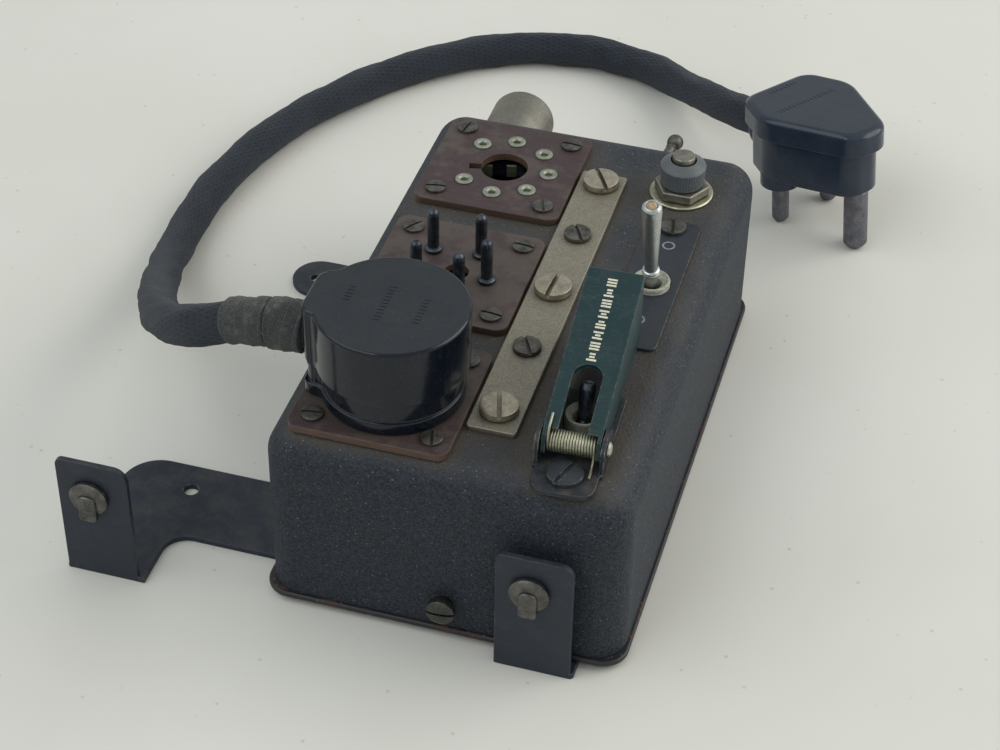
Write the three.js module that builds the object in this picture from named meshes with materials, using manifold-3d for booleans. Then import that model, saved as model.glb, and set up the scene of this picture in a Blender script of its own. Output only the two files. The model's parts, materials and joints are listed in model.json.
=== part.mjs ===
// A remote switch and socket box: a crackle-painted case on a flat mounting
// bracket, with three paxolin connector panels, a contact strip, a guarded
// toggle, a plain toggle, a push button, and a lead with a round plug at one
// end and a three-pin plug at the other.
// Millimetres. X is right, Y is the rear, Z is up; the floor is z = 0 and the
// origin is the centre of the case on the floor.

import * as THREE from 'three';
import { mergeVertices } from 'three/addons/utils/BufferGeometryUtils.js';
import Module from 'manifold-3d';

const wasm = await Module();
wasm.setup();

// ---------------------------------------------------------------- dimensions
const GAP = 0.1;                // between pieces that bear on each other
const CLEAR = 0.3;              // round a piece that passes through another

const CASE_W = 89;
const CASE_L = 148;
const CASE_TOP = 51.3;
const CASE_EDGE = 7.7;          // round of the top edges
const CASE_CORNER = 8;          // round of the upright corners
const CASE_WALL = 2;
const BASE_W = 91;
const BASE_L = 150;
const BASE_T = 1.5;
const STRAP_T = 1.6;
const BASE_Z = STRAP_T + GAP;
const CASE_Z = BASE_Z + BASE_T + GAP;

const PANEL = 39.4;             // square paxolin panels
const PANEL_T = 2;
const PANEL_X = -19.5;
const PANEL_A_Y = 45.6;
const PANEL_PITCH = 47.7;
const PANEL_B_Y = PANEL_A_Y - PANEL_PITCH;
const PANEL_C_Y = PANEL_B_Y - PANEL_PITCH;
const PANEL_Z = CASE_TOP + GAP;
const PANEL_TOP = PANEL_Z + PANEL_T;
const PANEL_SCREWS = 29.3;      // side of the square that the screws stand on
const CONTACT_RING = 12.2;      // radius of the seven contacts
const CONTACT_R = 1.9;
const CONTACT_BORE = 1.05;
const KEY_HOLE_R = 6.3;
const KEYWAY_REACH = 3.2;
const KEYWAY_TURN = 13;         // degrees that the keyway turns from -X towards -Y

const PIN_RING = 9.8;
const PIN_R = 1.5;
const PIN_H = 12.8;
const PIN_ANGLES = [135, 57, -9, -62, -136];

const STRIP_X = 6.9;
const STRIP_W = 12.2;
const STRIP_Y0 = -56.7;
const STRIP_Y1 = 51.6;
const STRIP_T = 1.4;
const STRIP_PITCH = 23.95;
const STRIP_FIRST_Y = -49.4;

const GUARD_X = 27.3;
const GUARD_W = 13.8;           // over the cover's two flanges
const GUARD_SHEET = 1;
const GUARD_PIVOT = { y: -59.4, z: 56.3 };
const GUARD_TURN = 2.25;        // degrees that the guard sits askew, about its hinge
const GUARD_REAR_Y = -13.5;
const GUARD_TOP_FRONT = 61;
const GUARD_TOP_REAR = 72.5;
const GUARD_SLOT_W = 7;
const GUARD_SLOT_END_Y = -41.5;
const EAR_T = 1;

const SWITCH_2 = { x: GUARD_X, y: -47.5, pivotZ: 51.5, tilt: 22 };
const SWITCH_1 = { x: 29.5, y: 9.3, pivotZ: 50, tilt: 11 };
const LABEL = { x: 29.5, w: 14.2, y0: -16.5, y1: 37.3, t: 0.8 };
const BUTTON = { x: 27.8, y: 51 };
const REAR_LEVER = { x: 15.9, z: 41 };
const REAR_KNOB = { x: -27, z: 38, r: 9, endY: 93 };

const SIDE_SCREW_Z = 10.9;
const TAB_Y = -79.3;            // front face of both upright tabs
const TAB_TOP = 36.2;
const STUD_R = 4.9;

const PLUG = {
  x: -19, y: -50, lidR: 18.6, bodyR: 17.1, footR: 17.2, top: 78.8, split: 62.8, blockX: -39, blockW: 16.6,
};
const CORD_D = 10.2;
// The lead's route from the round plug to the three-pin plug.
const CORD_ROUTE = [
  [-39.4, -48, 65], [-46, -48, 65], [-54, -48, 64], [-62, -47.5, 61.5], [-70, -46, 57.5],
  [-77.5, -41, 52], [-84, -33.5, 46], [-90.5, -24, 39.5], [-96, -13.5, 33], [-101.5, -2, 26.5],
  [-106.5, 10, 20], [-111, 22, 14], [-115, 35, 9], [-117.5, 48.5, 6], [-118.5, 62, 5.3],
  [-118, 76, 5.3], [-116, 90, 5.3], [-112, 105, 5.3], [-107, 119, 5.3], [-99, 134, 5.3],
  [-89, 149, 5.3], [-77, 162, 5.3], [-62, 174, 5.3], [-45, 181.5, 5.3], [-27, 183.5, 5.3],
  [-9, 179, 6], [4, 169.5, 8], [13, 160, 11.5], [20.8, 151.2, 15.2], [28, 144.3, 18.2],
  [35.5, 138.5, 20],
];
const CORD_STEPS = 44;

// The three-pin plug stands on the tips of its pins, earth pin to the right.
const PLUG3 = { x: 50.5, y: 126.8, heading: -38, baseT: 13.5, coverT: 7.5 };
const PIN_SPACING = 19.05;
const EARTH_OFFSET = 22.2;
const LINE_PIN = { r: 2.54, len: 15.9 };
const EARTH_PIN = { r: 3.53, len: 19 };
const LINE_BOSS = { r: 6, h: 3.4 };

// ------------------------------------------------------------------ materials
const MATERIALS = {
  crackle: [0x2b2d33, 0.75, 0.1],
  blackPaint: [0x1d1e22, 0.5, 0.2],
  rim: [0x2a2322, 0.6, 0.2],
  paxolin: [0x4a3336, 0.45, 0],
  nickel: [0xa9a593, 0.35, 0.9],
  dullNickel: [0x8f8b7c, 0.5, 0.8],
  darkSteel: [0x3a3835, 0.5, 0.8],
  brass: [0xb7a878, 0.45, 0.9],
  green: [0x244446, 0.4, 0.2],
  bakelite: [0x1b1b1f, 0.3, 0],
  braid: [0x1e2430, 0.95, 0],
};

function material(kind) {
  const [color, roughness, metalness] = MATERIALS[kind];
  return new THREE.MeshStandardMaterial({ color, roughness, metalness });
}

// -------------------------------------------------------------- solid helpers
function toSolid(geometry) {
  const bare = geometry.clone();
  bare.deleteAttribute('normal');
  bare.deleteAttribute('uv');
  const merged = mergeVertices(bare, 1e-4);
  return new wasm.Manifold(new wasm.Mesh({
    numProp: 3,
    vertProperties: merged.attributes.position.array,
    triVerts: new Uint32Array(merged.index.array),
  }));
}

function toGeometry(solid) {
  const mesh = solid.getMesh();
  const geometry = new THREE.BufferGeometry();
  geometry.setAttribute('position', new THREE.BufferAttribute(mesh.vertProperties, 3));
  geometry.setIndex(new THREE.BufferAttribute(mesh.triVerts, 1));
  geometry.computeVertexNormals();
  return geometry;
}

function join(first, ...others) {
  return toGeometry(others.reduce((sum, g) => sum.add(toSolid(g)), toSolid(first)));
}

function cut(first, ...others) {
  return toGeometry(others.reduce((rest, g) => rest.subtract(toSolid(g)), toSolid(first)));
}

function common(first, second) {
  return toGeometry(toSolid(first).intersect(toSolid(second)));
}

function box(x0, x1, y0, y1, z0, z1) {
  const g = new THREE.BoxGeometry(x1 - x0, y1 - y0, z1 - z0);
  return g.translate((x0 + x1) / 2, (y0 + y1) / 2, (z0 + z1) / 2);
}

// An upright cylinder standing on z0.
function rod(x, y, z0, z1, r, sides = 16) {
  const g = new THREE.CylinderGeometry(r, r, z1 - z0, sides);
  return g.rotateX(Math.PI / 2).translate(x, y, (z0 + z1) / 2);
}

// A turned piece about Z, from [radius, height] pairs.
function turned(profile, sides = 24) {
  const points = profile.map(([r, z]) => new THREE.Vector2(r, z));
  return new THREE.LatheGeometry(points, sides).rotateX(Math.PI / 2);
}

function prism(shape, z0, z1, curveSegments = 6) {
  const g = new THREE.ExtrudeGeometry(shape, { depth: z1 - z0, bevelEnabled: false, curveSegments });
  return g.translate(0, 0, z0);
}

function roundedRect(w, l, r, x = 0, y = 0) {
  const s = new THREE.Shape();
  const a = w / 2;
  const b = l / 2;
  s.absarc(x + a - r, y - b + r, r, -Math.PI / 2, 0);
  s.absarc(x + a - r, y + b - r, r, 0, Math.PI / 2);
  s.absarc(x - a + r, y + b - r, r, Math.PI / 2, Math.PI);
  s.absarc(x - a + r, y - b + r, r, Math.PI, 1.5 * Math.PI);
  s.closePath();
  return s;
}

function polygon(points) {
  return new THREE.Shape(points.map(([x, y]) => new THREE.Vector2(x, y)));
}

const group = new THREE.Group();

function add(name, geometry, kind, parent = group) {
  const mesh = new THREE.Mesh(geometry, material(kind));
  mesh.name = name;
  parent.add(mesh);
  return mesh;
}

// A cheese-head screw with a slot, head bearing on z, shank below it.
function screw(headR, headH, shankR, shankL, slotAngle, sides = 16) {
  const body = turned([
    [0, -shankL], [shankR, -shankL], [shankR, 0], [headR, 0],
    [headR, headH * 0.75], [headR * 0.88, headH], [0, headH],
  ], sides);
  const slot = box(-headR * 1.2, headR * 1.2, -headR * 0.13, headR * 0.13, headH * 0.5, headH * 2);
  return cut(body, slot.rotateZ(THREE.MathUtils.degToRad(slotAngle)));
}

// --------------------------------------------------- where the screws all go
const panelScrews = [];
for (const [letter, y] of [['a', PANEL_A_Y], ['b', PANEL_B_Y], ['c', PANEL_C_Y]]) {
  [[-1, 1], [1, 1], [-1, -1], [1, -1]].forEach(([sx, sy], i) => {
    panelScrews.push({
      name: `panel_${letter}_screw_${i + 1}`,
      x: PANEL_X + sx * PANEL_SCREWS / 2,
      y: y + sy * PANEL_SCREWS / 2,
      angle: 20 + 55 * i + 25 * sy,
    });
  });
}

const stripScrews = [0, 1, 2, 3, 4].map((i) => ({
  name: `strip_screw_${i + 1}`,
  x: STRIP_X,
  y: STRIP_FIRST_Y + i * STRIP_PITCH,
  large: i % 2 === 0,
  angle: 35 + 40 * i,
}));

const PANEL_SHANK_R = 1.2;
const STRIP_SHANK_R = 1.6;
const PANEL_HEAD = { r: 2.7, h: 0.9 };
const LARGE_HEAD = { r: 4.7, h: 2.3 };
const SMALL_HEAD = { r: 3.5, h: 1.4 };
const SHANK_THROUGH = 1.5;      // how far a shank shows under the case top

// The guard and what is under it turn together a little about the hinge.
const GUARD_SCREW_Y = -66.6;
const askewMatrix = new THREE.Matrix4().makeTranslation(GUARD_X, GUARD_PIVOT.y, 0)
  .multiply(new THREE.Matrix4().makeRotationZ(THREE.MathUtils.degToRad(GUARD_TURN)))
  .multiply(new THREE.Matrix4().makeTranslation(-GUARD_X, -GUARD_PIVOT.y, 0));

function askew(geometry) {
  return geometry.applyMatrix4(askewMatrix);
}

// ------------------------------------------------------------------- the case
function caseBlock(inset, z0, top, segments) {
  const edge = CASE_EDGE - inset * 0.6;
  const shape = roundedRect(
    CASE_W - 2 * inset - 2 * edge,
    CASE_L - 2 * inset - 2 * edge,
    Math.max(CASE_CORNER - inset - edge, 0.3),
  );
  const g = new THREE.ExtrudeGeometry(shape, {
    depth: top - z0,
    bevelThickness: edge,
    bevelSize: edge,
    bevelSegments: segments,
    curveSegments: segments,
  });
  g.translate(0, 0, z0 - edge);
  return common(g, box(-100, 100, -100, 100, z0, top));
}

function caseShell() {
  const holes = [
    ...panelScrews.map((s) => rod(s.x, s.y, 40, 60, PANEL_SHANK_R + CLEAR, 8)),
    ...stripScrews.map((s) => rod(s.x, s.y, 40, 60, STRIP_SHANK_R + CLEAR, 8)),
    rod(PANEL_X, PANEL_A_Y, 40, 60, 15.8, 20),
    rod(PANEL_X, PANEL_B_Y, 40, 60, 13, 20),
    rod(PANEL_X, PANEL_C_Y, 40, 60, 15.8, 20),
    rod(SWITCH_1.x, SWITCH_1.y, 40, 60, 4.8 + CLEAR, 20),
    askew(rod(SWITCH_2.x, SWITCH_2.y, 40, 60, 4.5 + CLEAR, 20)),
    rod(BUTTON.x, BUTTON.y, 40, 60, 5 + CLEAR, 20),
    askew(rod(GUARD_X, GUARD_SCREW_Y, 40, 60, 1.6 + CLEAR, 10)),
    rod(SWITCH_1.x, 33.7, 40, 60, 1.2 + CLEAR, 10),
    rod(REAR_LEVER.x, -REAR_LEVER.z, 60, 90, 3 + CLEAR, 16).rotateX(-Math.PI / 2),
    rod(REAR_KNOB.x, -REAR_KNOB.z, 60, 90, 3.5 + CLEAR, 16).rotateX(-Math.PI / 2),
    rod(1, SIDE_SCREW_Z, 60, 90, 1.8 + CLEAR, 12).rotateX(Math.PI / 2),
  ];
  const outer = caseBlock(0, CASE_Z, CASE_TOP, 4);
  const inner = caseBlock(CASE_WALL, CASE_Z - 20, CASE_TOP - CASE_WALL, 2);
  return cut(outer, inner, ...holes);
}

function basePlate() {
  return prism(roundedRect(BASE_W, BASE_L, 6.5), BASE_Z, BASE_Z + BASE_T);
}

// ---------------------------------------------------------- mounting bracket
const LEFT_TAB = { x0: -94.9, x1: -76.5, corner: 3.6 };
const RIGHT_TAB = { x0: 14.9, x1: 33.7, corner: 3.2 };
const TAB_OUTER_CORNER = 1.8;

function uprightTab({ x0, x1, corner }) {
  const s = new THREE.Shape();
  s.moveTo(x0, 0);
  s.lineTo(x1, 0);
  s.absarc(x1 - corner, TAB_TOP - corner, corner, 0, Math.PI / 2);
  s.absarc(x0 + TAB_OUTER_CORNER, TAB_TOP - TAB_OUTER_CORNER, TAB_OUTER_CORNER, Math.PI / 2, Math.PI);
  s.closePath();
  const hole = new THREE.Path();
  hole.absarc((x0 + x1) / 2 - 0.9, 26, 2.5, 0, 2 * Math.PI, true);
  s.holes.push(hole);
  return prism(s, 0, STRAP_T, 8).rotateX(Math.PI / 2).translate(0, TAB_Y + STRAP_T, 0);
}

function bracketFlat() {
  const left = new THREE.Shape();
  left.moveTo(LEFT_TAB.x0, TAB_Y);
  left.lineTo(-74.8, TAB_Y);
  left.lineTo(-74.8, -68);
  left.absarc(-68.8, -68, 6, Math.PI, Math.PI / 2, true);
  left.lineTo(-30, -62);
  left.lineTo(-30, -37);
  left.absarc(LEFT_TAB.x0 + 10, -47, 10, Math.PI / 2, Math.PI);
  left.closePath();
  const leftHole = new THREE.Path();
  leftHole.absarc(-76, -45.9, 2, 0, 2 * Math.PI, true);
  left.holes.push(leftHole);

  const rear = new THREE.Shape();
  rear.moveTo(-30, 40.6);
  rear.lineTo(-30, 56.2);
  rear.absarc(-74.8, 48.4, 7.8, Math.PI / 2, 1.5 * Math.PI);
  rear.closePath();
  const rearHole = new THREE.Path();
  rearHole.absarc(-75.7, 47.8, 1.6, 0, 2 * Math.PI, true);
  rear.holes.push(rearHole);

  return join(
    prism(left, 0, STRAP_T),
    prism(rear, 0, STRAP_T),
    box(-38, 12, -62, 56.2, 0, STRAP_T),
    box(-20, 34.6, -62, -37, 0, STRAP_T),
    box(RIGHT_TAB.x0, 34.6, TAB_Y, -40, 0, STRAP_T),
  );
}

function mountingBracket() {
  return join(bracketFlat(), uprightTab(LEFT_TAB), uprightTab(RIGHT_TAB));
}

// A quarter-turn stud: slotted disc, neck through the tab, collar behind it.
function stud() {
  const turnedPart = turned([
    [0, -3.6], [3.5, -3.6], [3.5, -2.1], [2.2, -2.1], [2.2, GAP], [STUD_R, GAP],
    [STUD_R, 1.3], [STUD_R - 0.6, 1.8], [2.2, 1.8], [2.2, 2.6], [0, 2.6],
  ], 16);
  const tongue = box(-2.3, 2.3, -6.2, -2.5, GAP, 2.4);
  return join(turnedPart, tongue).rotateX(Math.PI / 2);
}

// ------------------------------------------------------------ connector panels
function panelBlank(y) {
  const holes = panelScrews
    .filter((s) => Math.abs(s.y - y) < PANEL_SCREWS)
    .map((s) => rod(s.x, s.y, 40, 60, PANEL_SHANK_R + CLEAR, 8));
  return cut(prism(roundedRect(PANEL, PANEL, 3, PANEL_X, y), PANEL_Z, PANEL_TOP, 4), ...holes);
}

function contactPlaces(y) {
  return [0, 45, 90, 135, 225, 270, 315].map((deg) => {
    const a = THREE.MathUtils.degToRad(deg);
    return [PANEL_X + CONTACT_RING * Math.cos(a), y + CONTACT_RING * Math.sin(a)];
  });
}

function keyHole(y, z0, z1) {
  const keyway = box(-KEY_HOLE_R - KEYWAY_REACH, 0, -1.2, 1.2, z0, z1)
    .rotateZ(THREE.MathUtils.degToRad(KEYWAY_TURN))
    .translate(PANEL_X, y, 0);
  return join(rod(PANEL_X, y, z0, z1, KEY_HOLE_R, 20), keyway);
}

function socketPanel(y) {
  const holes = contactPlaces(y).map(([x, cy]) => rod(x, cy, 40, 60, CONTACT_R + 0.2, 10));
  return cut(panelBlank(y), keyHole(y, 40, 60), ...holes);
}

function socketContacts(y) {
  const disc = rod(PANEL_X, y, CASE_TOP - 5, CASE_TOP - 0.4, 15.2, 20);
  const tubes = contactPlaces(y).map(([x, cy]) => (
    rod(x, cy, CASE_TOP - 1, PANEL_TOP + 0.3, CONTACT_R, 8)));
  const bores = contactPlaces(y).map(([x, cy]) => rod(x, cy, CASE_TOP - 3, 60, CONTACT_BORE, 6));
  return cut(join(disc, ...tubes), keyHole(y, 30, 60), ...bores);
}

const PIN_HOLE_R = 3.2;

function pinPlaces() {
  return PIN_ANGLES.map((deg) => {
    const a = THREE.MathUtils.degToRad(deg);
    return [PANEL_X + PIN_RING * Math.cos(a), PANEL_B_Y + PIN_RING * Math.sin(a)];
  });
}

function pinPanel() {
  const holes = pinPlaces().map(([x, y]) => rod(x, y, 40, 60, PIN_R + 0.2, 10));
  return cut(panelBlank(PANEL_B_Y), rod(PANEL_X + 1.3, PANEL_B_Y, 40, 60, PIN_HOLE_R, 20), ...holes);
}

function contactPin() {
  return turned([
    [0, -4.5], [PIN_R, -4.5], [PIN_R, GAP], [2.3, GAP], [2.3, 1], [PIN_R, 1.3],
    [PIN_R, PIN_H - 1.1], [1.05, PIN_H - 0.3], [0, PIN_H],
  ], 12);
}

// ---------------------------------------------------------------- metal strip
function contactStrip() {
  const holes = stripScrews.map((s) => rod(s.x, s.y, 40, 60, STRIP_SHANK_R + CLEAR, 8));
  const shape = roundedRect(STRIP_W, STRIP_Y1 - STRIP_Y0, 0.8, STRIP_X, (STRIP_Y0 + STRIP_Y1) / 2);
  return cut(prism(shape, PANEL_Z, PANEL_Z + STRIP_T, 2), ...holes);
}

// ---------------------------------------------------------------- guard cover
const GUARD_BASE_TOP = CASE_TOP + GAP + 1.2;
const GUARD_TONGUE = { w: 15.2, corner: 3.6, rootY: -64.5, frontY: -72.8 };

function guardSide(inset) {
  const front = GUARD_PIVOT.y;
  return polygon([
    [front - 3.2 + inset, GUARD_PIVOT.z - 1.5], [front - 1.5, GUARD_PIVOT.z - 3.2 + inset],
    [front + 5, GUARD_PIVOT.z - 2.5], [GUARD_REAR_Y - 3, 54.4],
    [GUARD_REAR_Y, 57], [GUARD_REAR_Y, GUARD_TOP_REAR - inset],
    [front + 1, GUARD_TOP_FRONT - inset], [front - 2, GUARD_PIVOT.z + 3],
  ]);
}

function sideways(shape, x0, x1) {
  const g = new THREE.ExtrudeGeometry(shape, { depth: x1 - x0, bevelEnabled: false });
  return g.rotateX(Math.PI / 2).rotateZ(Math.PI / 2).translate(x0, 0, 0);
}

function guardCover() {
  const half = GUARD_W / 2;
  const outer = sideways(guardSide(0), GUARD_X - half, GUARD_X + half);
  const hollow = sideways(polygon([
    [-90, 40], [10, 40], [10, GUARD_TOP_REAR + 23 / 4 - 1.03], [GUARD_REAR_Y, GUARD_TOP_REAR - 1.03],
    [GUARD_PIVOT.y + 1, GUARD_TOP_FRONT - 1.03], [GUARD_PIVOT.y - 2, GUARD_TOP_FRONT - 0.6], [-90, GUARD_TOP_FRONT],
  ]), GUARD_X - half + GUARD_SHEET, GUARD_X + half - GUARD_SHEET);
  const slot = prism(roundedRect(GUARD_SLOT_W, 40, GUARD_SLOT_W / 2 - 0.01,
    GUARD_X, GUARD_SLOT_END_Y - 20), 40, 90);
  return cut(outer, hollow, slot, pivotBore(1.2 + CLEAR));
}

function pivotBore(r) {
  const g = new THREE.CylinderGeometry(r, r, 60, 12).rotateZ(Math.PI / 2);
  return g.translate(GUARD_X, GUARD_PIVOT.y, GUARD_PIVOT.z);
}

function guardBase() {
  const inner = GUARD_W / 2 + CLEAR;
  const outer = inner + EAR_T;
  const tongue = GUARD_TONGUE.w / 2;
  const r = GUARD_TONGUE.corner;
  const plan = new THREE.Shape();
  plan.moveTo(GUARD_X - outer, -36);
  plan.lineTo(GUARD_X - outer, GUARD_TONGUE.rootY);
  plan.lineTo(GUARD_X - tongue, GUARD_TONGUE.rootY);
  plan.absarc(GUARD_X - tongue + r, GUARD_TONGUE.frontY + r, r, Math.PI, 1.5 * Math.PI);
  plan.absarc(GUARD_X + tongue - r, GUARD_TONGUE.frontY + r, r, 1.5 * Math.PI, 2 * Math.PI);
  plan.lineTo(GUARD_X + tongue, GUARD_TONGUE.rootY);
  plan.lineTo(GUARD_X + outer, GUARD_TONGUE.rootY);
  plan.lineTo(GUARD_X + outer, -36);
  plan.closePath();
  const ear = polygon([
    [-64.5, CASE_TOP + GAP], [-52, CASE_TOP + GAP], [-54.5, 58.2], [-57, 60], [-61.5, 60], [-63.5, 58],
  ]);
  return cut(
    join(
      prism(plan, CASE_TOP + GAP, GUARD_BASE_TOP, 4),
      sideways(ear, GUARD_X - outer, GUARD_X - inner),
      sideways(ear, GUARD_X + inner, GUARD_X + outer),
    ),
    pivotBore(1.2 + CLEAR),
    rod(SWITCH_2.x, SWITCH_2.y, 40, 60, 4.5 + CLEAR, 20),
    rod(GUARD_X, GUARD_SCREW_Y, 40, 60, 1.6 + CLEAR, 12),
  );
}

const GUARD_PIN_L = 17.8;

function guardPin() {
  const profile = [
    [0, -1], [2, -1], [2, -0.2], [1.2, -0.2], [1.2, GUARD_PIN_L], [0, GUARD_PIN_L],
  ];
  const g = turned(profile, 14).rotateY(-Math.PI / 2);
  return g.translate(GUARD_X + GUARD_W / 2 + CLEAR + EAR_T, GUARD_PIVOT.y, GUARD_PIVOT.z);
}

// A helix of wire round the pin, its two legs left to bear on cover and base.
class CoilCurve extends THREE.Curve {
  constructor(x0, x1, r, turns) {
    super();
    Object.assign(this, { x0, x1, r, turns });
  }

  getPoint(t, target = new THREE.Vector3()) {
    const a = 2 * Math.PI * this.turns * t;
    return target.set(
      this.x0 + (this.x1 - this.x0) * t,
      GUARD_PIVOT.y + this.r * Math.cos(a),
      GUARD_PIVOT.z + this.r * Math.sin(a),
    );
  }
}

function guardSpring() {
  const inside = GUARD_W / 2 - GUARD_SHEET - 0.6;
  const wire = new THREE.Shape();
  wire.absarc(0, 0, 0.42, 0, 2 * Math.PI);
  const coil = new CoilCurve(GUARD_X - inside, GUARD_X + inside, 2.35, 7);
  return new THREE.ExtrudeGeometry(wire, { steps: 63, curveSegments: 2, extrudePath: coil });
}

// -------------------------------------------------------------- toggle switches
function switchBody({ x, y, pivotZ }, outer, bushTop, mouth, size) {
  const solidBush = turned([
    [0, CASE_TOP - 8], [outer, CASE_TOP - 8], [outer, bushTop - 0.4], [outer - 0.3, bushTop], [0, bushTop],
  ], 20);
  const bore = turned([
    [0, pivotZ - 4], [2.7, pivotZ - 4], [2.7, pivotZ + 0.2], [mouth, bushTop + 0.01],
    [mouth, bushTop + 2], [0, bushTop + 2],
  ], 20);
  const roof = CASE_TOP - CASE_WALL;
  const block = box(-size.w / 2, size.w / 2, -size.l / 2, size.l / 2, roof - size.h, roof - GAP);
  return cut(join(solidBush, block), bore).translate(x, y, 0);
}

function toggleLever(profile) {
  return turned(profile, 14);
}

// ------------------------------------------------------------------ the button
function hexNut(af, bore, z0, z1) {
  const across = af / Math.sqrt(3);
  const nut = rod(0, 0, z0, z1, across, 6);
  return cut(nut, rod(0, 0, z0 - 1, z1 + 1, bore, 20));
}

// --------------------------------------------------------------- round plug
function plugOutline(discR, inset) {
  const r = discR - inset;
  const half = PLUG.blockW / 2 - inset;
  const end = PLUG.blockX - PLUG.x + inset;
  const a = Math.asin(half / r);
  const s = new THREE.Shape();
  s.absarc(0, 0, r, -Math.PI + a, Math.PI - a);
  s.lineTo(end + 2, half);
  s.lineTo(end, half - 2);
  s.lineTo(end, -half + 2);
  s.lineTo(end + 2, -half);
  s.closePath();
  return s;
}

function roundPlugBody() {
  const z = PANEL_TOP + 0.4;
  const foot = prism(plugOutline(PLUG.footR, 0), z, z + 2.8, 8);
  const body = prism(plugOutline(PLUG.bodyR, 0.3), z, PLUG.split, 8);
  const spigot = rod(PANEL_X - PLUG.x, PANEL_C_Y - PLUG.y, CASE_TOP - 4, z + 1, KEY_HOLE_R - CLEAR, 20);
  const pins = contactPlaces(PANEL_C_Y).map(([x, y]) => (
    rod(x - PLUG.x, y - PLUG.y, CASE_TOP - 2, z + 1, CONTACT_BORE - 0.25, 8)));
  return join(foot, body, spigot, ...pins).translate(PLUG.x, PLUG.y, 0);
}

function roundPlugLid() {
  const edge = 0.9;
  const z0 = PLUG.split + GAP;
  const g = new THREE.ExtrudeGeometry(plugOutline(PLUG.lidR, edge), {
    depth: PLUG.top - z0,
    bevelThickness: edge,
    bevelSize: edge,
    bevelSegments: 3,
    curveSegments: 8,
  });
  g.translate(0, 0, z0 - edge);
  return common(g, box(-60, 60, -60, 60, z0, PLUG.top)).translate(PLUG.x, PLUG.y, 0);
}

// ------------------------------------------------------------------- the lead
function cord() {
  const points = CORD_ROUTE.map(([x, y, z]) => new THREE.Vector3(x, y, z));
  const route = new THREE.CatmullRomCurve3(points, false, 'centripetal');
  const section = new THREE.Shape();
  section.absarc(0, 0, CORD_D / 2, 0, 2 * Math.PI);
  return new THREE.ExtrudeGeometry(section, { steps: CORD_STEPS, curveSegments: 5, extrudePath: route });
}

// ------------------------------------------------------------ three-pin plug
const PLUG3_CORNERS = [
  [-14, -12.5, 4.5], [0.5, -18, 5], [28.5, -6.3, 5.6], [28.5, 6.3, 5.6], [0.5, 18, 5], [-14, 12.5, 4.5],
];

// A triangle with its corners cut off and rounded, drawn in from the cover's edge.
function plug3Outline(inset) {
  const share = 1 - inset / 15;
  const corners = PLUG3_CORNERS.map(([x, y, r]) => [new THREE.Vector2(5 + (x - 5) * share, y * share), r * share]);
  const s = new THREE.Shape();
  corners.forEach(([corner, r], i) => {
    const [before] = corners[(i + 5) % 6];
    const [after] = corners[(i + 1) % 6];
    const from = corner.clone().add(before.clone().sub(corner).setLength(r));
    const to = corner.clone().add(after.clone().sub(corner).setLength(r));
    if (i === 0) s.moveTo(from.x, from.y);
    else s.lineTo(from.x, from.y);
    s.quadraticCurveTo(corner.x, corner.y, to.x, to.y);
  });
  s.closePath();
  return s;
}

function plugPin({ r, len }, x, y) {
  const pin = turned([[0, -len], [r * 0.62, -len], [r, -len + r * 0.45], [r, 1], [0, 1]], 18);
  return pin.translate(x, y, 0);
}

function plug3Base() {
  const body = prism(plug3Outline(1.6), 0, PLUG3.baseT, 5);
  const gland = common(
    new THREE.CylinderGeometry(7, 7, 10, 18).rotateZ(Math.PI / 2).translate(-13, 0, 6.5),
    box(-18, 0, -8, 8, 0, PLUG3.baseT),
  );
  return join(
    body,
    gland,
    rod(0, -PIN_SPACING / 2, -LINE_BOSS.h, 1, LINE_BOSS.r, 20),
    rod(0, PIN_SPACING / 2, -LINE_BOSS.h, 1, LINE_BOSS.r, 20),
    plugPin(LINE_PIN, 0, -PIN_SPACING / 2),
    plugPin(LINE_PIN, 0, PIN_SPACING / 2),
    plugPin(EARTH_PIN, EARTH_OFFSET, 0),
  );
}

function plug3Cover() {
  const edge = 2;
  const z0 = PLUG3.baseT + CLEAR;
  const top = PLUG3.baseT + PLUG3.coverT;
  const g = new THREE.ExtrudeGeometry(plug3Outline(edge), {
    depth: top - z0,
    bevelThickness: edge,
    bevelSize: edge,
    bevelSegments: 4,
    curveSegments: 6,
  });
  g.translate(0, 0, z0 - edge);
  return common(g, box(-60, 60, -60, 60, z0, top));
}

// ------------------------------------------------------------------- assembly
add('case_housing', caseShell(), 'crackle');
add('case_base_plate', basePlate(), 'rim');
add('mounting_bracket', mountingBracket(), 'blackPaint');
add('side_screw', screw(3.6, 2.4, 1.8, 9.8, 80).rotateX(Math.PI / 2), 'darkSteel')
  .position.set(1, -76, SIDE_SCREW_Z);
add('stud_left', stud(), 'nickel').position.set((LEFT_TAB.x0 + LEFT_TAB.x1) / 2 - 0.9, TAB_Y, 26);
add('stud_right', stud(), 'nickel').position.set((RIGHT_TAB.x0 + RIGHT_TAB.x1) / 2 - 0.9, TAB_Y, 26);

add('panel_a_socket', socketPanel(PANEL_A_Y), 'paxolin');
add('panel_a_contacts', socketContacts(PANEL_A_Y), 'brass');
add('panel_b_pins', pinPanel(), 'paxolin');
add('panel_c_socket', socketPanel(PANEL_C_Y), 'paxolin');
add('panel_c_contacts', socketContacts(PANEL_C_Y), 'brass');
for (const s of panelScrews) {
  const shank = PANEL_T + GAP + CASE_WALL + SHANK_THROUGH;
  add(s.name, screw(PANEL_HEAD.r, PANEL_HEAD.h, PANEL_SHANK_R, shank, s.angle, 12), 'darkSteel')
    .position.set(s.x, s.y, PANEL_TOP + GAP);
}
pinPlaces().forEach(([x, y], i) => {
  add(`contact_pin_${i + 1}`, contactPin(), 'darkSteel').position.set(x, y, PANEL_TOP);
});

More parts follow.
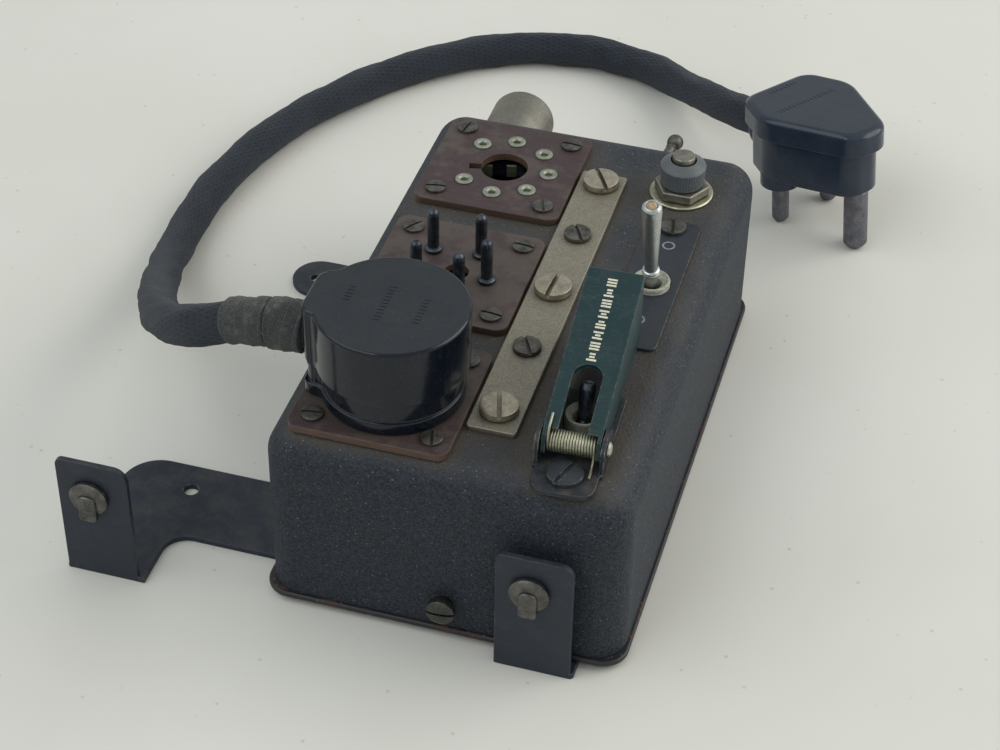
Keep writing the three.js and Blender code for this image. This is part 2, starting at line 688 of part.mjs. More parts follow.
add('contact_strip', contactStrip(), 'dullNickel');
for (const s of stripScrews) {
  const { r, h } = s.large ? LARGE_HEAD : SMALL_HEAD;
  const shank = STRIP_T + GAP + CASE_WALL + SHANK_THROUGH;
  add(s.name, screw(r, h, STRIP_SHANK_R, shank, s.angle), s.large ? 'dullNickel' : 'darkSteel')
    .position.set(s.x, s.y, PANEL_Z + STRIP_T + GAP);
}

const askewGroup = new THREE.Group();
askewGroup.applyMatrix4(askewMatrix);
group.add(askewGroup);
add('guard_base', guardBase(), 'darkSteel', askewGroup);
add('guard_base_screw', screw(4.3, 1.3, 1.6, 5, 70), 'darkSteel', askewGroup)
  .position.set(GUARD_X, GUARD_SCREW_Y, GUARD_BASE_TOP + GAP);
add('guard_cover', guardCover(), 'green', askewGroup);
add('guard_pin', guardPin(), 'dullNickel', askewGroup);
add('guard_spring', guardSpring(), 'brass', askewGroup);

add('guarded_switch', switchBody(SWITCH_2, 4.5, 55.6, 3.9, { w: 13, l: 24, h: 18 }), 'nickel', askewGroup);
const lever2 = toggleLever([
  [0, -2.3], [1.6, -1.6], [2.3, 0], [1.6, 1.8], [1.5, 4], [1.8, 10], [1.1, 10.9], [0, 11.2],
]);
add('guarded_toggle', lever2.rotateX(-THREE.MathUtils.degToRad(SWITCH_2.tilt)), 'nickel', askewGroup)
  .position.set(SWITCH_2.x, SWITCH_2.y, SWITCH_2.pivotZ);

add('main_switch', switchBody(SWITCH_1, 4.8, 53.6, 4, { w: 12.6, l: 26, h: 20 }), 'nickel');
const lever1 = toggleLever([
  [0, -2.4], [1.7, -1.7], [2.4, 0], [1.8, 1.6], [1.7, 6.6], [2.3, 7], [2.3, 7.8], [2, 8.4],
  [2.65, 28.3], [2.3, 30.3], [1.2, 31.2], [0, 31.3],
]);
add('main_toggle', lever1.rotateX(THREE.MathUtils.degToRad(SWITCH_1.tilt)), 'nickel')
  .position.set(SWITCH_1.x, SWITCH_1.y, SWITCH_1.pivotZ);

const labelMid = (LABEL.y0 + LABEL.y1) / 2;
add('toggle_label_plate', cut(
  prism(roundedRect(LABEL.w, LABEL.y1 - LABEL.y0, 2, LABEL.x, labelMid), CASE_TOP + GAP, CASE_TOP + GAP + LABEL.t, 3),
  rod(SWITCH_1.x, SWITCH_1.y, 40, 60, 4.8 + CLEAR, 20),
  rod(SWITCH_1.x, 33.7, 40, 60, 1.2 + CLEAR, 10),
), 'blackPaint');
add('toggle_label_screw', screw(3.4, 1.2, 1.2, 4.5, 15, 16), 'darkSteel')
  .position.set(SWITCH_1.x, 33.7, CASE_TOP + GAP + LABEL.t + GAP);

const button = new THREE.Group();
button.position.set(BUTTON.x, BUTTON.y, CASE_TOP);
group.add(button);
add('button_switch', cut(
  join(rod(0, 0, -24, -CASE_WALL - GAP, 7, 20), rod(0, 0, -6, 9.4, 5, 20)),
  rod(0, 0, -12, 12, 3.4, 18),
), 'blackPaint', button);
add('button_washer', cut(rod(0, 0, GAP, 0.9, 8.4, 28), rod(0, 0, -1, 2, 5 + CLEAR, 20)), 'brass', button);
add('button_nut', hexNut(12.8, 5 + CLEAR, 1, 3.6), 'nickel', button);
add('button_collar', cut(rod(0, 0, 3.9, 10.8, 6.1, 28), rod(0, 0, 0, 9.6, 5 + CLEAR, 20), rod(0, 0, 0, 20, 3.4, 18)),
  'blackPaint', button);
add('button_plunger', turned([
  [0, -8], [3, -8], [3, 10.9], [2.7, 12], [2.4, 12.2], [0, 12.2],
], 20), 'nickel', button);

const rear = new THREE.Group();
rear.rotation.x = -Math.PI / 2;
rear.position.set(0, CASE_L / 2, 0);
group.add(rear);
add('rear_switch', cut(
  join(rod(REAR_LEVER.x, -REAR_LEVER.z, -10, 4.5, 3, 18), box(
    REAR_LEVER.x - 5, REAR_LEVER.x + 5, -REAR_LEVER.z - 5, -REAR_LEVER.z + 5, -16, -6)),
  turned([[0, -3], [1.8, -3], [1.8, 0.3], [2.65, 4.6], [2.65, 6], [0, 6]], 16).translate(REAR_LEVER.x, -REAR_LEVER.z, 0),
), 'nickel', rear);
const ballLever = turned([
  [0, -1.4], [1.35, -0.6], [1.35, 0.6], [1, 2], [1, 5], [1.3, 6.5], [1.6, 9.8], [2.3, 11.9], [1.7, 13.8], [0, 14.3],
], 16);
ballLever.rotateX(THREE.MathUtils.degToRad(11)).rotateY(THREE.MathUtils.degToRad(14));
add('rear_ball_lever', ballLever, 'darkSteel', rear).position.set(REAR_LEVER.x, -REAR_LEVER.z, 0);
add('rear_knob_bush', rod(0, 0, -8, 5, 3.5, 20), 'dullNickel', rear).position.set(REAR_KNOB.x, -REAR_KNOB.z, 0);
const knobEnd = REAR_KNOB.endY - CASE_L / 2;
add('rear_knob', turned([
  [0, 5 + CLEAR], [3.5 + CLEAR, 5 + CLEAR], [3.5 + CLEAR, CLEAR], [REAR_KNOB.r, CLEAR],
  [REAR_KNOB.r, knobEnd - 1.2], [REAR_KNOB.r - 1.2, knobEnd], [0, knobEnd],
], 24), 'dullNickel', rear).position.set(REAR_KNOB.x, -REAR_KNOB.z, 0);

add('round_plug_body', roundPlugBody(), 'bakelite');
add('round_plug_lid', roundPlugLid(), 'bakelite');
add('lead_cord', cord(), 'braid');

// The plug leans so that all three pin tips touch the floor.
const lean = Math.atan2(EARTH_PIN.len - LINE_PIN.len, EARTH_OFFSET);
const plug3 = new THREE.Group();
plug3.rotation.set(0, -lean, THREE.MathUtils.degToRad(PLUG3.heading), 'ZYX');
plug3.position.set(PLUG3.x, PLUG3.y, 0);
group.add(plug3);
add('three_pin_plug_base', plug3Base(), 'bakelite', plug3);
add('three_pin_plug_cover', plug3Cover(), 'bakelite', plug3);
plug3.updateMatrixWorld(true);
plug3.position.z = 0.05 - new THREE.Box3().setFromObject(plug3, true).min.z;

export default group;
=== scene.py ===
"""Looks for a remote switch box with a lead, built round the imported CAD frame.

Shapes are worked out in millimetres and become metres in piece(); +Z is up.
"""

import json
import math

import bpy
import numpy as np
from mathutils import Matrix, Quaternion, Vector, noise


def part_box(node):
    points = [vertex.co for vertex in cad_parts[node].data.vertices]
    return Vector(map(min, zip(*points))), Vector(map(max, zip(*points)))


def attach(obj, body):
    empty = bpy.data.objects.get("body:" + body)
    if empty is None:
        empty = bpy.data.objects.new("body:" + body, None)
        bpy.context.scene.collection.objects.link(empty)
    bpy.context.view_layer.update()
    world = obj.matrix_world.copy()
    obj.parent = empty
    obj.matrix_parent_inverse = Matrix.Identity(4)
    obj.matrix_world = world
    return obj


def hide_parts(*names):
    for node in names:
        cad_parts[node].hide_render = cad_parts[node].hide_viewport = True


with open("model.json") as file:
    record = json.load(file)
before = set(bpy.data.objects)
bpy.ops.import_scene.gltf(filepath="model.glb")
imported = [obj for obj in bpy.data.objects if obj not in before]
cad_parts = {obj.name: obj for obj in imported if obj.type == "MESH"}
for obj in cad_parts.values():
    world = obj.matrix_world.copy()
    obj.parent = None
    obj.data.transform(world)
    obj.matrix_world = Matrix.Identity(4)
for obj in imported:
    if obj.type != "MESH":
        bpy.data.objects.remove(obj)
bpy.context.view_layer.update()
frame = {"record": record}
MM = 0.001
UP_X = Matrix.Rotation(math.pi / 2, 4, "Y")      # turns +Z to +X
UP_REAR = Matrix.Rotation(-math.pi / 2, 4, "X")  # turns +Z to +Y
UP_FRONT = Matrix.Rotation(math.pi / 2, 4, "X")  # turns +Z to -Y
RECORD = frame["record"]
JOINTS = {joint["name"]: joint for joint in RECORD["behaviour"]["joints"]}
BODY_OF = {node: body for body, nodes in RECORD["behaviour"]["bodies"].items() for node in nodes}


def pivot(joint):
    """A joint's place in millimetres."""
    return Vector(JOINTS[joint]["pos_m"]) / MM


# ---- camera and light
CAMERA_AT, CAMERA_LENS = (0.11624, -0.43940, 0.40316), 82.3
AZIMUTH, ELEVATION, ROLL = (math.radians(a) for a in (15.655, 39.978, 1.045))


def new_object(name, data):
    made = bpy.data.objects.new(name, data)
    bpy.context.scene.collection.objects.link(made)
    return made


def make_camera():
    data = bpy.data.cameras.new("camera")
    data.lens = CAMERA_LENS
    data.sensor_width = 36
    data.clip_start, data.clip_end = 0.01, 20
    camera = new_object("camera", data)
    level = math.cos(ELEVATION)
    back = Vector((math.sin(AZIMUTH) * level, -math.cos(AZIMUTH) * level, math.sin(ELEVATION)))
    camera.rotation_mode = "QUATERNION"
    camera.rotation_quaternion = back.to_track_quat("Z", "Y") @ Quaternion((0, 0, 1), ROLL)
    camera.location = CAMERA_AT
    bpy.context.scene.camera = camera


def area_light(name, place, target, size, watts, colour=(1, 1, 1)):
    data = bpy.data.lights.new(name, "AREA")
    data.shape = "RECTANGLE"
    data.size, data.size_y = size
    data.energy = watts
    data.color = colour
    light = new_object(name, data)
    light.location = place
    light.rotation_mode = "QUATERNION"
    light.rotation_quaternion = (Vector(place) - Vector(target)).to_track_quat("Z", "Y")


def make_light():
    bpy.context.scene.view_settings.view_transform = "Standard"
    world = bpy.data.worlds.new("studio")
    bpy.context.scene.world = world
    world.use_nodes = True
    background = world.node_tree.nodes["Background"]
    background.inputs["Color"].default_value = (0.84, 0.88, 0.88, 1)
    background.inputs["Strength"].default_value = 0.66
    area_light("key", (1.2, 0.5, 0.85), (0, 0.03, 0), (1.4, 1.2), 14.5, (1, 0.98, 0.94))
    area_light("fill", (-0.9, -0.55, 1.2), (-0.05, -0.05, 0), (1.4, 1.2), 7.5, (0.93, 0.97, 1))
    area_light("window", (-0.22, -0.72, 0.82), (-0.02, -0.05, 0.08), (0.2, 0.12), 0.5, (0.96, 0.98, 1))


make_camera()
make_light()


# ---- plain outlines
def full_turn(sides):
    return np.arange(sides) * 2 * math.pi / sides


def rounded(points, radii, steps=6):
    """The closed outline with its corners rounded; radii is one number, or one for each point."""
    points = [Vector(p) for p in points]
    if isinstance(radii, (int, float)):
        radii = [radii] * len(points)
    made = []
    for i, corner in enumerate(points):
        before, after = points[i - 1] - corner, points[(i + 1) % len(points)] - corner
        angle = before.angle(after)
        if radii[i] <= 0 or angle > math.pi - 0.01:
            made.append(corner)
            continue
        reach = min(radii[i] / math.tan(angle / 2), before.length * 0.49, after.length * 0.49)
        radius = reach * math.tan(angle / 2)
        before.normalize()
        after.normalize()
        centre = corner + (before + after).normalized() * (radius / math.sin(angle / 2))
        start, end = corner + before * reach - centre, corner + after * reach - centre
        sweep = math.pi - angle
        for k in range(steps + 1):
            part = sweep * k / steps
            made.append(centre + (start * math.sin(sweep - part) + end * math.sin(part)) / math.sin(sweep))
    return np.array([tuple(p) for p in made])


def rectangle(x0, x1, y0, y1, radius, steps=6):
    return rounded([(x0, y0), (x1, y0), (x1, y1), (x0, y1)], radius, steps)


def circle(radius, x=0.0, y=0.0, sides=48):
    turn = full_turn(sides)
    return np.stack([x + radius * np.cos(turn), y + radius * np.sin(turn)], 1)


def arc(radius, start, end, steps, x=0.0, y=0.0):
    """Points from one angle to another, in degrees."""
    turn = np.radians(np.linspace(start, end, steps + 1))
    return np.stack([x + radius * np.cos(turn), y + radius * np.sin(turn)], 1)


# ---- plain solids
# A solid is (an array of its points, a list of its faces).
def loft(rings):
    """A closed skin through rings of equally many points, bottom ring first."""
    n = len(rings[0])
    faces = [
        (k * n + i, k * n + (i + 1) % n, (k + 1) * n + (i + 1) % n, (k + 1) * n + i)
        for k in range(len(rings) - 1)
        for i in range(n)
    ]
    faces += [tuple(range(n))[::-1], tuple(range((len(rings) - 1) * n, len(rings) * n))]
    return np.concatenate(rings), faces


def at_height(outline, z):
    return np.column_stack([outline, np.full(len(outline), z)])


def inset(outline, amount):
    """The outline drawn in by an amount, along the mean of its neighbouring edges' normals."""
    before = outline - np.roll(outline, 1, 0)
    after = np.roll(outline, -1, 0) - outline
    before /= np.maximum(np.linalg.norm(before, axis=1, keepdims=True), 1e-9)
    after /= np.maximum(np.linalg.norm(after, axis=1, keepdims=True), 1e-9)
    normal = np.stack([-(before + after)[:, 1], (before + after)[:, 0]], 1)
    normal /= np.maximum(np.linalg.norm(normal, axis=1, keepdims=True), 1e-9)
    spread = np.maximum(np.sum(normal * np.stack([-before[:, 1], before[:, 0]], 1), 1), 0.5)
    return outline + normal * (amount / spread)[:, None]


def quarter(radius, steps):
    """A rounded edge from a wall to the flat: pairs of how far it is from the wall and from the flat."""
    turns = [k / steps * math.pi / 2 for k in range(steps + 1)]
    return [(radius * (1 - math.cos(a)), radius * (1 - math.sin(a))) for a in turns]


def slab(outline, z0, z1, low, high, steps=3):
    """An upright prism whose lower and upper edges are rounded; the outline runs anticlockwise."""
    rings = [at_height(inset(outline, wall), z0 + flat) for flat, wall in quarter(low, steps)]
    rings += [at_height(inset(outline, wall), z1 - flat) for wall, flat in quarter(high, steps)]
    return loft(rings)


def lathe(profile, sides=48, ribs=None):
    """A turned solid about Z, from (radius, height) pairs that end on the axis or close on themselves.

    ribs is (number, depth, lowest height, highest height) of grooves along the outside.
    """
    closed = tuple(profile[0]) == tuple(profile[-1])
    turn = full_turn(sides)
    points, rows = [], []
    for r, z in profile[:-1] if closed else profile:
        count = 1 if r < 1e-6 else sides
        rows.append([len(points) + i for i in range(count)])
        radius = np.full(count, float(r))
        if ribs and ribs[2] <= z <= ribs[3]:
            radius -= ribs[1] * (0.5 + 0.5 * np.cos(turn * ribs[0]))
        points += [(radius[i] * math.cos(turn[i]), radius[i] * math.sin(turn[i]), z) for i in range(count)]
    faces = []
    for low, high in zip(rows, rows[1:] + (rows[:1] if closed else [])):
        for i in range(sides):
            j = (i + 1) % sides
            corners = (low[i % len(low)], low[j % len(low)], high[j % len(high)], high[i % len(high)])
            face = tuple(dict.fromkeys(corners))
            if len(face) > 2:
                faces.append(face)
    return np.array(points), faces


def soften(profile, radius, steps=3):
    """An open profile with its inner corners rounded; its two ends stay."""
    first, *middle, last = [tuple(p) for p in profile]
    made = rounded([first, *middle, last], [0] + [radius] * len(middle) + [0], steps)
    return [tuple(p) for p in made]


def tube(line, radius, sides=12):
    """A tube along a line of points; radius is one number or one for each point and side."""
    line = np.asarray(line, float)
    along = np.gradient(line, axis=0)
    along /= np.linalg.norm(along, axis=1, keepdims=True)
    side = np.cross(along[0], (0.0, 0.0, 1.0) if abs(along[0][2]) < 0.9 else (1.0, 0.0, 0.0))
    turn = full_turn(sides)
    rings = []
    for k, forward in enumerate(along):
        side = side - forward * np.dot(side, forward)
        side /= np.linalg.norm(side)
        over = np.cross(forward, side)
        r = radius if np.isscalar(radius) else np.asarray(radius[k])
        spokes = np.cos(turn)[:, None] * side + np.sin(turn)[:, None] * over
        rings.append(line[k] + spokes * np.broadcast_to(r, sides)[:, None])
    return loft(rings)


def placed(x, y, z, turned):
    """The matrix that turns a solid and then puts it at a place."""
    return Matrix.Translation((x, y, z)) @ turned


def moved(solid, matrix):
    points, faces = solid
    m = np.array(matrix)
    return points @ m[:3, :3].T + m[:3, 3], faces


def shifted(solid, x=0.0, y=0.0, z=0.0):
    return moved(solid, Matrix.Translation((x, y, z)))


def together(*solids):
    points, faces, start = [], [], 0
    for p, f in solids:
        points.append(p)
        faces += [tuple(i + start for i in face) for face in f]
        start += len(p)
    return np.concatenate(points), faces


def boolean(kind, first, *others):
    """The first solid with the others cut away (DIFFERENCE) or joined on (UNION)."""
    for other in others:
        made = []
        for label, (points, faces) in (("kept", first), ("tool", other)):
            mesh = bpy.data.meshes.new(label)
            mesh.from_pydata(points.tolist(), [], faces)
            made.append(new_object(label, mesh))
        kept, tool = made
        modifier = kept.modifiers.new("boolean", "BOOLEAN")
        modifier.operation, modifier.solver, modifier.object = kind, "EXACT", tool
        result = bpy.data.meshes.new_from_object(kept.evaluated_get(bpy.context.evaluated_depsgraph_get()))
        first = np.array([v.co for v in result.vertices]), [tuple(p.vertices) for p in result.polygons]
        for o in made:
            mesh = o.data
            bpy.data.objects.remove(o)
            bpy.data.meshes.remove(mesh)
        bpy.data.meshes.remove(result)
    return first


def cut(first, *others):
    return boolean("DIFFERENCE", first, *others)


def fuse(first, *others):
    return boolean("UNION", first, *others)


def block(x0, x1, y0, y1, z0, z1, radius=0.0, edge=0.0):
    corners = [(x0, y0), (x1, y0), (x1, y1), (x0, y1)]
    outline = rounded(corners, radius) if radius else np.array(corners)
    if not edge:
        return loft([at_height(outline, z0), at_height(outline, z1)])
    return slab(outline, z0, z1, edge, edge)


def rod(radius, z0, z1, x=0.0, y=0.0, sides=48):
    return loft([at_height(circle(radius, x, y, sides), z) for z in (z0, z1)])


def spot(node):
    """The middle, lowest and highest corner of a CAD node, in millimetres."""
    lo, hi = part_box(node)
    return (lo + hi) / 2 / MM, lo / MM, hi / MM


def piece(name, solid, look, node, adds=False, bevel=0.0, sharp=38):
    """A finished piece in metres: it rides with a CAD node's body, and replaces the node or adds to it."""
    points, faces = solid
    mesh = bpy.data.meshes.new(name)
    mesh.from_pydata((np.asarray(points) * MM).tolist(), [], faces)
    mesh.validate()
    mesh.update()
    obj = new_object(name, mesh)
    mesh.shade_smooth()
    mesh.set_sharp_from_angle(angle=math.radians(sharp))
    if bevel:
        edge = obj.modifiers.new("edge", "BEVEL")
        edge.width, edge.segments, edge.limit_method = bevel * MM, 2, "ANGLE"
        edge.angle_limit = math.radians(sharp)
        edge.use_clamp_overlap = True
    normals = obj.modifiers.new("normals", "WEIGHTED_NORMAL")
    normals.keep_sharp = True
    mesh.materials.append(LOOKS[look])
    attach(obj, BODY_OF[node])
    if not adds:
        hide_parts(node)
    return obj


# ---- materials
def paint(*rgb):
    """A screen colour of 0 to 255 as the linear colour that a shader takes."""
    return tuple(((c / 255 + 0.055) / 1.055) ** 2.4 if c > 10 else c / 255 / 12.92 for c in rgb) + (1.0,)


class Shader:
    """A Principled material on the piece's own coordinates. Sizes and depths are in millimetres."""

    def __init__(self, name, metallic=0.0, **constants):
        self.material = bpy.data.materials.new(name)
        self.material.use_nodes = True
        self.tree = self.material.node_tree
        self.bsdf = self.tree.nodes["Principled BSDF"]
        self.bsdf.inputs["Metallic"].default_value = metallic
        for socket, value in constants.items():
            self.bsdf.inputs[socket.replace("_", " ")].default_value = value
        coordinates = self.node("ShaderNodeTexCoord")
        self.place = coordinates.outputs["Object"]
        self.along = coordinates.outputs["UV"]
        self.facing = self.node("ShaderNodeSeparateXYZ", {"Vector": coordinates.outputs["Normal"]}).outputs
        self.xyz = self.node("ShaderNodeSeparateXYZ", {"Vector": self.place}).outputs
        self.colour = self.relief = None

    def put(self, socket, value):
        if isinstance(value, bpy.types.NodeSocket):
            self.tree.links.new(value, socket)
        else:
            socket.default_value = value

    def node(self, kind, inputs=None, **settings):
        made = self.tree.nodes.new(kind)
        for name, value in settings.items():
            setattr(made, name, value)
        for name, value in (inputs or {}).items():
            self.put(made.inputs[name], value)
        return made

    def math(self, operation, a, b=0.0):
        return self.node("ShaderNodeMath", {0: a, 1: b}, operation=operation).outputs[0]

    def times(self, a, b):
        return self.math("MULTIPLY", a, b)

    def most(self, a, b):
        return self.math("MAXIMUM", a, b)

    def stretched(self, stretch, turn=0.0):
        mapping = self.node("ShaderNodeMapping", {"Vector": self.place})
        mapping.inputs["Scale"].default_value = stretch
        mapping.inputs["Rotation"].default_value = (0, 0, math.radians(turn))
        return mapping.outputs[0]

    def noise(self, size, detail=3.0, rough=0.55, stretch=None, turn=0.0, warp=0.0):
        where = self.stretched(stretch, turn) if stretch else self.place
        made = self.node("ShaderNodeTexNoise", {
            "Vector": where, "Scale": 1 / (size * MM), "Detail": detail, "Roughness": rough,
            "Distortion": warp,
        })
        return made.outputs[0]

    def cells(self, size):
        made = self.node("ShaderNodeTexVoronoi", {"Vector": self.place, "Scale": 1 / (size * MM)},
                         feature="SMOOTH_F1")
        return made.outputs["Distance"]

    def fade(self, value, low, high):
        """0 below low, 1 above high, and smooth between; low may be the larger."""
        made = self.node("ShaderNodeMapRange", {"Value": value, "From Min": low, "From Max": high},
                         interpolation_type="SMOOTHSTEP")
        return made.outputs[0]

    def mix(self, share, a, b):
        made = self.node("ShaderNodeMix", data_type="RGBA")
        for index, value in ((0, share), (6, a), (7, b)):
            self.put(made.inputs[index], value)
        return made.outputs[2]

    def tint(self, share, rgb, strength=1.0):
        """Lays another colour over that share of the colour so far, at a strength of 0 to 1."""
        share = share if strength == 1.0 else self.times(share, strength)
        self.colour = self.mix(share, self.colour, paint(*rgb))

    def span(self, share, low, high):
        """A number between low and high."""
        return self.math("ADD", self.times(share, high - low), low)

    def specks(self, size, amount):
        """Small round spots on that share of a grid of cells."""
        texture = self.node("ShaderNodeTexVoronoi", {"Vector": self.place, "Scale": 1 / (size * 2.2 * MM)})
        chosen = self.fade(self.node("ShaderNodeSeparateColor", {0: texture.outputs["Color"]}).outputs[0],
                           1 - amount, 1 - amount + 0.01)
        return self.times(self.fade(texture.outputs["Distance"], 0.42, 0.22), chosen)

    def scratches(self, length, width, amount, turn=0.0):
        """Thin lines along the local X, turned about Z."""
        lines = self.noise(1.0, 2.0, 0.5, (1 / length, 1 / width, 1 / width), turn, 0.3)
        return self.times(self.fade(self.math("ABSOLUTE", self.math("SUBTRACT", lines, 0.5)), 0.012, 0.002),
                         self.fade(self.noise(length * 0.8, 2.0), 0.62 - amount, 0.7 - amount))

    def edges(self, radius, low=0.02, high=0.2):
        """1 on the arrises within a radius, 0 on the flats."""
        smooth = self.node("ShaderNodeBevel", {"Radius": radius * MM}, samples=4).outputs[0]
        plain = self.node("ShaderNodeNewGeometry").outputs["Normal"]
        dot = self.node("ShaderNodeVectorMath", {0: smooth, 1: plain}, operation="DOT_PRODUCT")
        return self.fade(self.math("SUBTRACT", 1.0, dot.outputs["Value"]), low, high)

    def corners(self, distance):
        """1 deep in a corner between pieces, 0 in the open."""
        shade = self.node("ShaderNodeAmbientOcclusion", {"Distance": distance * MM}, samples=6)
        return self.math("SUBTRACT", 1.0, shade.outputs["AO"])

    def bump(self, height, depth):
        """Adds relief on top of what is there."""
        inputs = {"Height": height, "Distance": depth * MM, "Strength": 1.0}
        if self.relief is not None:
            inputs["Normal"] = self.relief
        self.relief = self.node("ShaderNodeBump", inputs).outputs[0]

    def made(self, roughness):
        self.put(self.bsdf.inputs["Base Color"], self.colour)
        self.put(self.bsdf.inputs["Roughness"], roughness)
        if self.relief is not None:
            self.put(self.bsdf.inputs["Normal"], self.relief)
        return self.material


def crackle_paint():
    s = Shader("crackle_paint", IOR=1.45)
    grain = s.math("ADD", s.times(s.cells(0.75), 0.8), s.noise(0.5, 3.0, 0.65))
    up = s.fade(s.facing[2], 0.55, 0.95)
    dust = s.times(up, s.fade(s.noise(18, 5.0, 0.6), 0.34, 0.66))
    near = s.fade(s.corners(9), 0.02, 0.3)
    s.colour = s.mix(s.fade(grain, 0.5, 1.05), paint(5, 10, 18), paint(36, 43, 54))
    s.tint(up, (56, 60, 63), 0.34)
    s.tint(dust, (74, 69, 63), 0.36)
    s.tint(s.times(near, up), (78, 70, 59), 0.7)
    pits = s.times(s.fade(s.noise(0.28, 2.0, 0.5), 0.6, 0.72), 0.6)
    s.tint(pits, (104, 108, 110))
    s.tint(s.specks(0.22, 0.03), (150, 152, 150), 0.5)
    worn = s.times(s.edges(1.6, 0.01, 0.12), s.fade(s.noise(5, 5.0, 0.7), 0.56, 0.66))
    s.tint(worn, (100, 98, 96), 0.4)
    s.bump(grain, 0.16)
    return s.made(s.span(s.noise(3, 3.0), 0.64, 0.76))


def base_paint():
    s = Shader("base_paint", 0.2)
    worn = s.fade(s.noise(5, 6.0, 0.7), 0.52, 0.64)
    s.colour = s.mix(s.noise(0.8, 2.0), paint(26, 27, 31), paint(44, 44, 48))
    s.tint(worn, (76, 52, 44), 0.8)
    s.tint(s.specks(0.3, 0.08), (112, 92, 78))
    s.bump(s.noise(0.6, 4.0), 0.08)
    return s.made(s.span(worn, 0.4, 0.75))


def black_paint(name, dust_share, low, high):
    s = Shader(name, IOR=1.45)
    mottle = s.noise(3, 5.0, 0.65)
    s.colour = s.mix(mottle, paint(*low), paint(*high))
    dust = s.times(s.fade(s.facing[2], 0.4, 0.9), s.fade(s.noise(5, 5.0, 0.65), 0.36, 0.7))
    s.tint(dust, (78, 74, 67), dust_share)
    rust = s.fade(s.noise(9, 5.0, 0.6), 0.6, 0.7)
    s.tint(rust, (70, 50, 44), 0.5 * dust_share)
    lines = s.most(s.scratches(7, 0.2, 0.06, 30), s.scratches(6, 0.18, 0.05, 110))
    s.tint(lines, (112, 114, 116), 0.3)
    bare = s.times(s.edges(0.5, 0.03, 0.25), s.fade(s.noise(1.8, 5.0, 0.7), 0.46, 0.56))
    s.tint(bare, (150, 146, 136))
    s.put(s.bsdf.inputs["Metallic"], s.times(bare, 0.8))
    s.bump(s.noise(0.5, 3.0), 0.03)
    s.bump(s.noise(7, 2.0), 0.08)
    return s.made(s.span(mottle, 0.36, 0.6))


def paxolin(name, dust_share):
    """Resin-bonded paper: red-brown, dusty, with its layers showing brown at the cut edges."""
    s = Shader(name, IOR=1.5)
    side = s.fade(s.math("ABSOLUTE", s.facing[2]), 0.75, 0.35)
    fibre = s.noise(1.0, 3.0, 0.6, (0.12, 0.8, 1))
    s.colour = s.mix(fibre, paint(42, 29, 34), paint(70, 51, 54))
    dust = s.fade(s.noise(8, 5.0, 0.64), 0.56 - 0.22 * dust_share, 0.74 - 0.2 * dust_share)
    s.tint(dust, (78, 69, 64), 0.8)
    layers = s.noise(0.3, 2.0, 0.6, (0.03, 0.03, 1))
    s.colour = s.mix(side, s.colour, s.mix(layers, paint(50, 33, 28), paint(98, 74, 58)))
    grime = s.fade(s.corners(4), 0.1, 0.45)
    s.tint(grime, (58, 49, 41), 0.6)
    lines = s.most(s.scratches(6, 0.25, 0.12, 62), s.scratches(5, 0.2, 0.1, -35))
    s.tint(lines, (118, 100, 92), 0.45)
    s.tint(s.fade(s.noise(0.3, 2.0), 0.6, 0.72), (124, 112, 98), 0.35)
    worn = s.times(s.edges(0.5, 0.02, 0.2), s.fade(s.noise(1.4, 4.0, 0.7), 0.46, 0.6))
    s.tint(worn, (112, 84, 66), 0.7)
    s.bump(s.noise(0.4, 3.0), 0.04)
    s.bump(lines, -0.03)
    return s.made(s.span(s.noise(3, 4.0), 0.42, 0.7))


def nickel(name, light, dark, rough, tarnish, fine=0.0):
    """Nickel plate: brushed a little, stained and speckled by age; tarnish is from 0 to 1.

    fine is from 0 to 1 and swaps the broad stains for a fine even grain.
    """
    s = Shader(name, 1.0)
    cloud = s.math("ADD", s.times(s.noise(2.6, 5.0, 0.62), 1 - fine),
                   s.times(s.noise(0.45, 4.0, 0.7), fine))
    s.colour = s.mix(s.fade(cloud, 0.3, 0.75), paint(*light), paint(*dark))
    # Grime and painted shade: a dark brown laid over the nickel in the corners and crevices that ambient
    # occlusion finds, stronger with more tarnish.
    grime = s.fade(s.corners(2.5), 0.15, 0.7)
    s.tint(grime, (64, 54, 42), 0.5 + 0.3 * tarnish)
    spots = s.specks(0.25, 0.05 + 0.2 * tarnish)
    s.tint(spots, (70, 62, 50), 0.5)
    rust = s.times(s.fade(s.noise(0.9, 5.0, 0.7), 0.68 - 0.06 * tarnish, 0.76), tarnish)
    s.tint(rust, (92, 70, 50))
    lines = s.most(s.scratches(4, 0.12, 0.12, 15), s.scratches(3, 0.1, 0.1, 80))
    s.tint(lines, (226, 224, 214), 0.3)
    s.put(s.bsdf.inputs["Metallic"], s.span(s.most(rust, spots), 1.0 - 0.3 * tarnish, 0.3))
    s.bump(s.noise(0.3, 3.0), 0.012 + 0.02 * tarnish)
    s.bump(lines, -0.01)
    return s.made(s.span(cloud, rough - 0.1, rough + 0.14))


def green_paint():
    """Bottle-green stove enamel, rubbed through on its arrises."""
    s = Shader("green_paint", IOR=1.46)
    s.colour = s.mix(s.noise(4, 5.0, 0.6), paint(8, 38, 43), paint(16, 50, 54))
    lines = s.most(s.scratches(8, 0.14, 0.14, 74), s.scratches(5, 0.12, 0.10, 20))
    s.tint(lines, (104, 124, 116), 0.45)
    grime = s.fade(s.noise(2.2, 5.0, 0.7), 0.56, 0.7)
    s.tint(grime, (26, 34, 34), 0.5)
    bare = s.times(s.edges(0.6, 0.04, 0.26), s.fade(s.noise(1.6, 5.0, 0.7), 0.4, 0.56))
    s.tint(bare, (120, 128, 120), 0.7)
    s.put(s.bsdf.inputs["Metallic"], s.times(bare, 0.4))
    s.bump(s.noise(1.6, 2.0), 0.03)
    s.bump(lines, -0.02)
    return s.made(s.span(s.noise(3, 4.0), 0.3, 0.5))


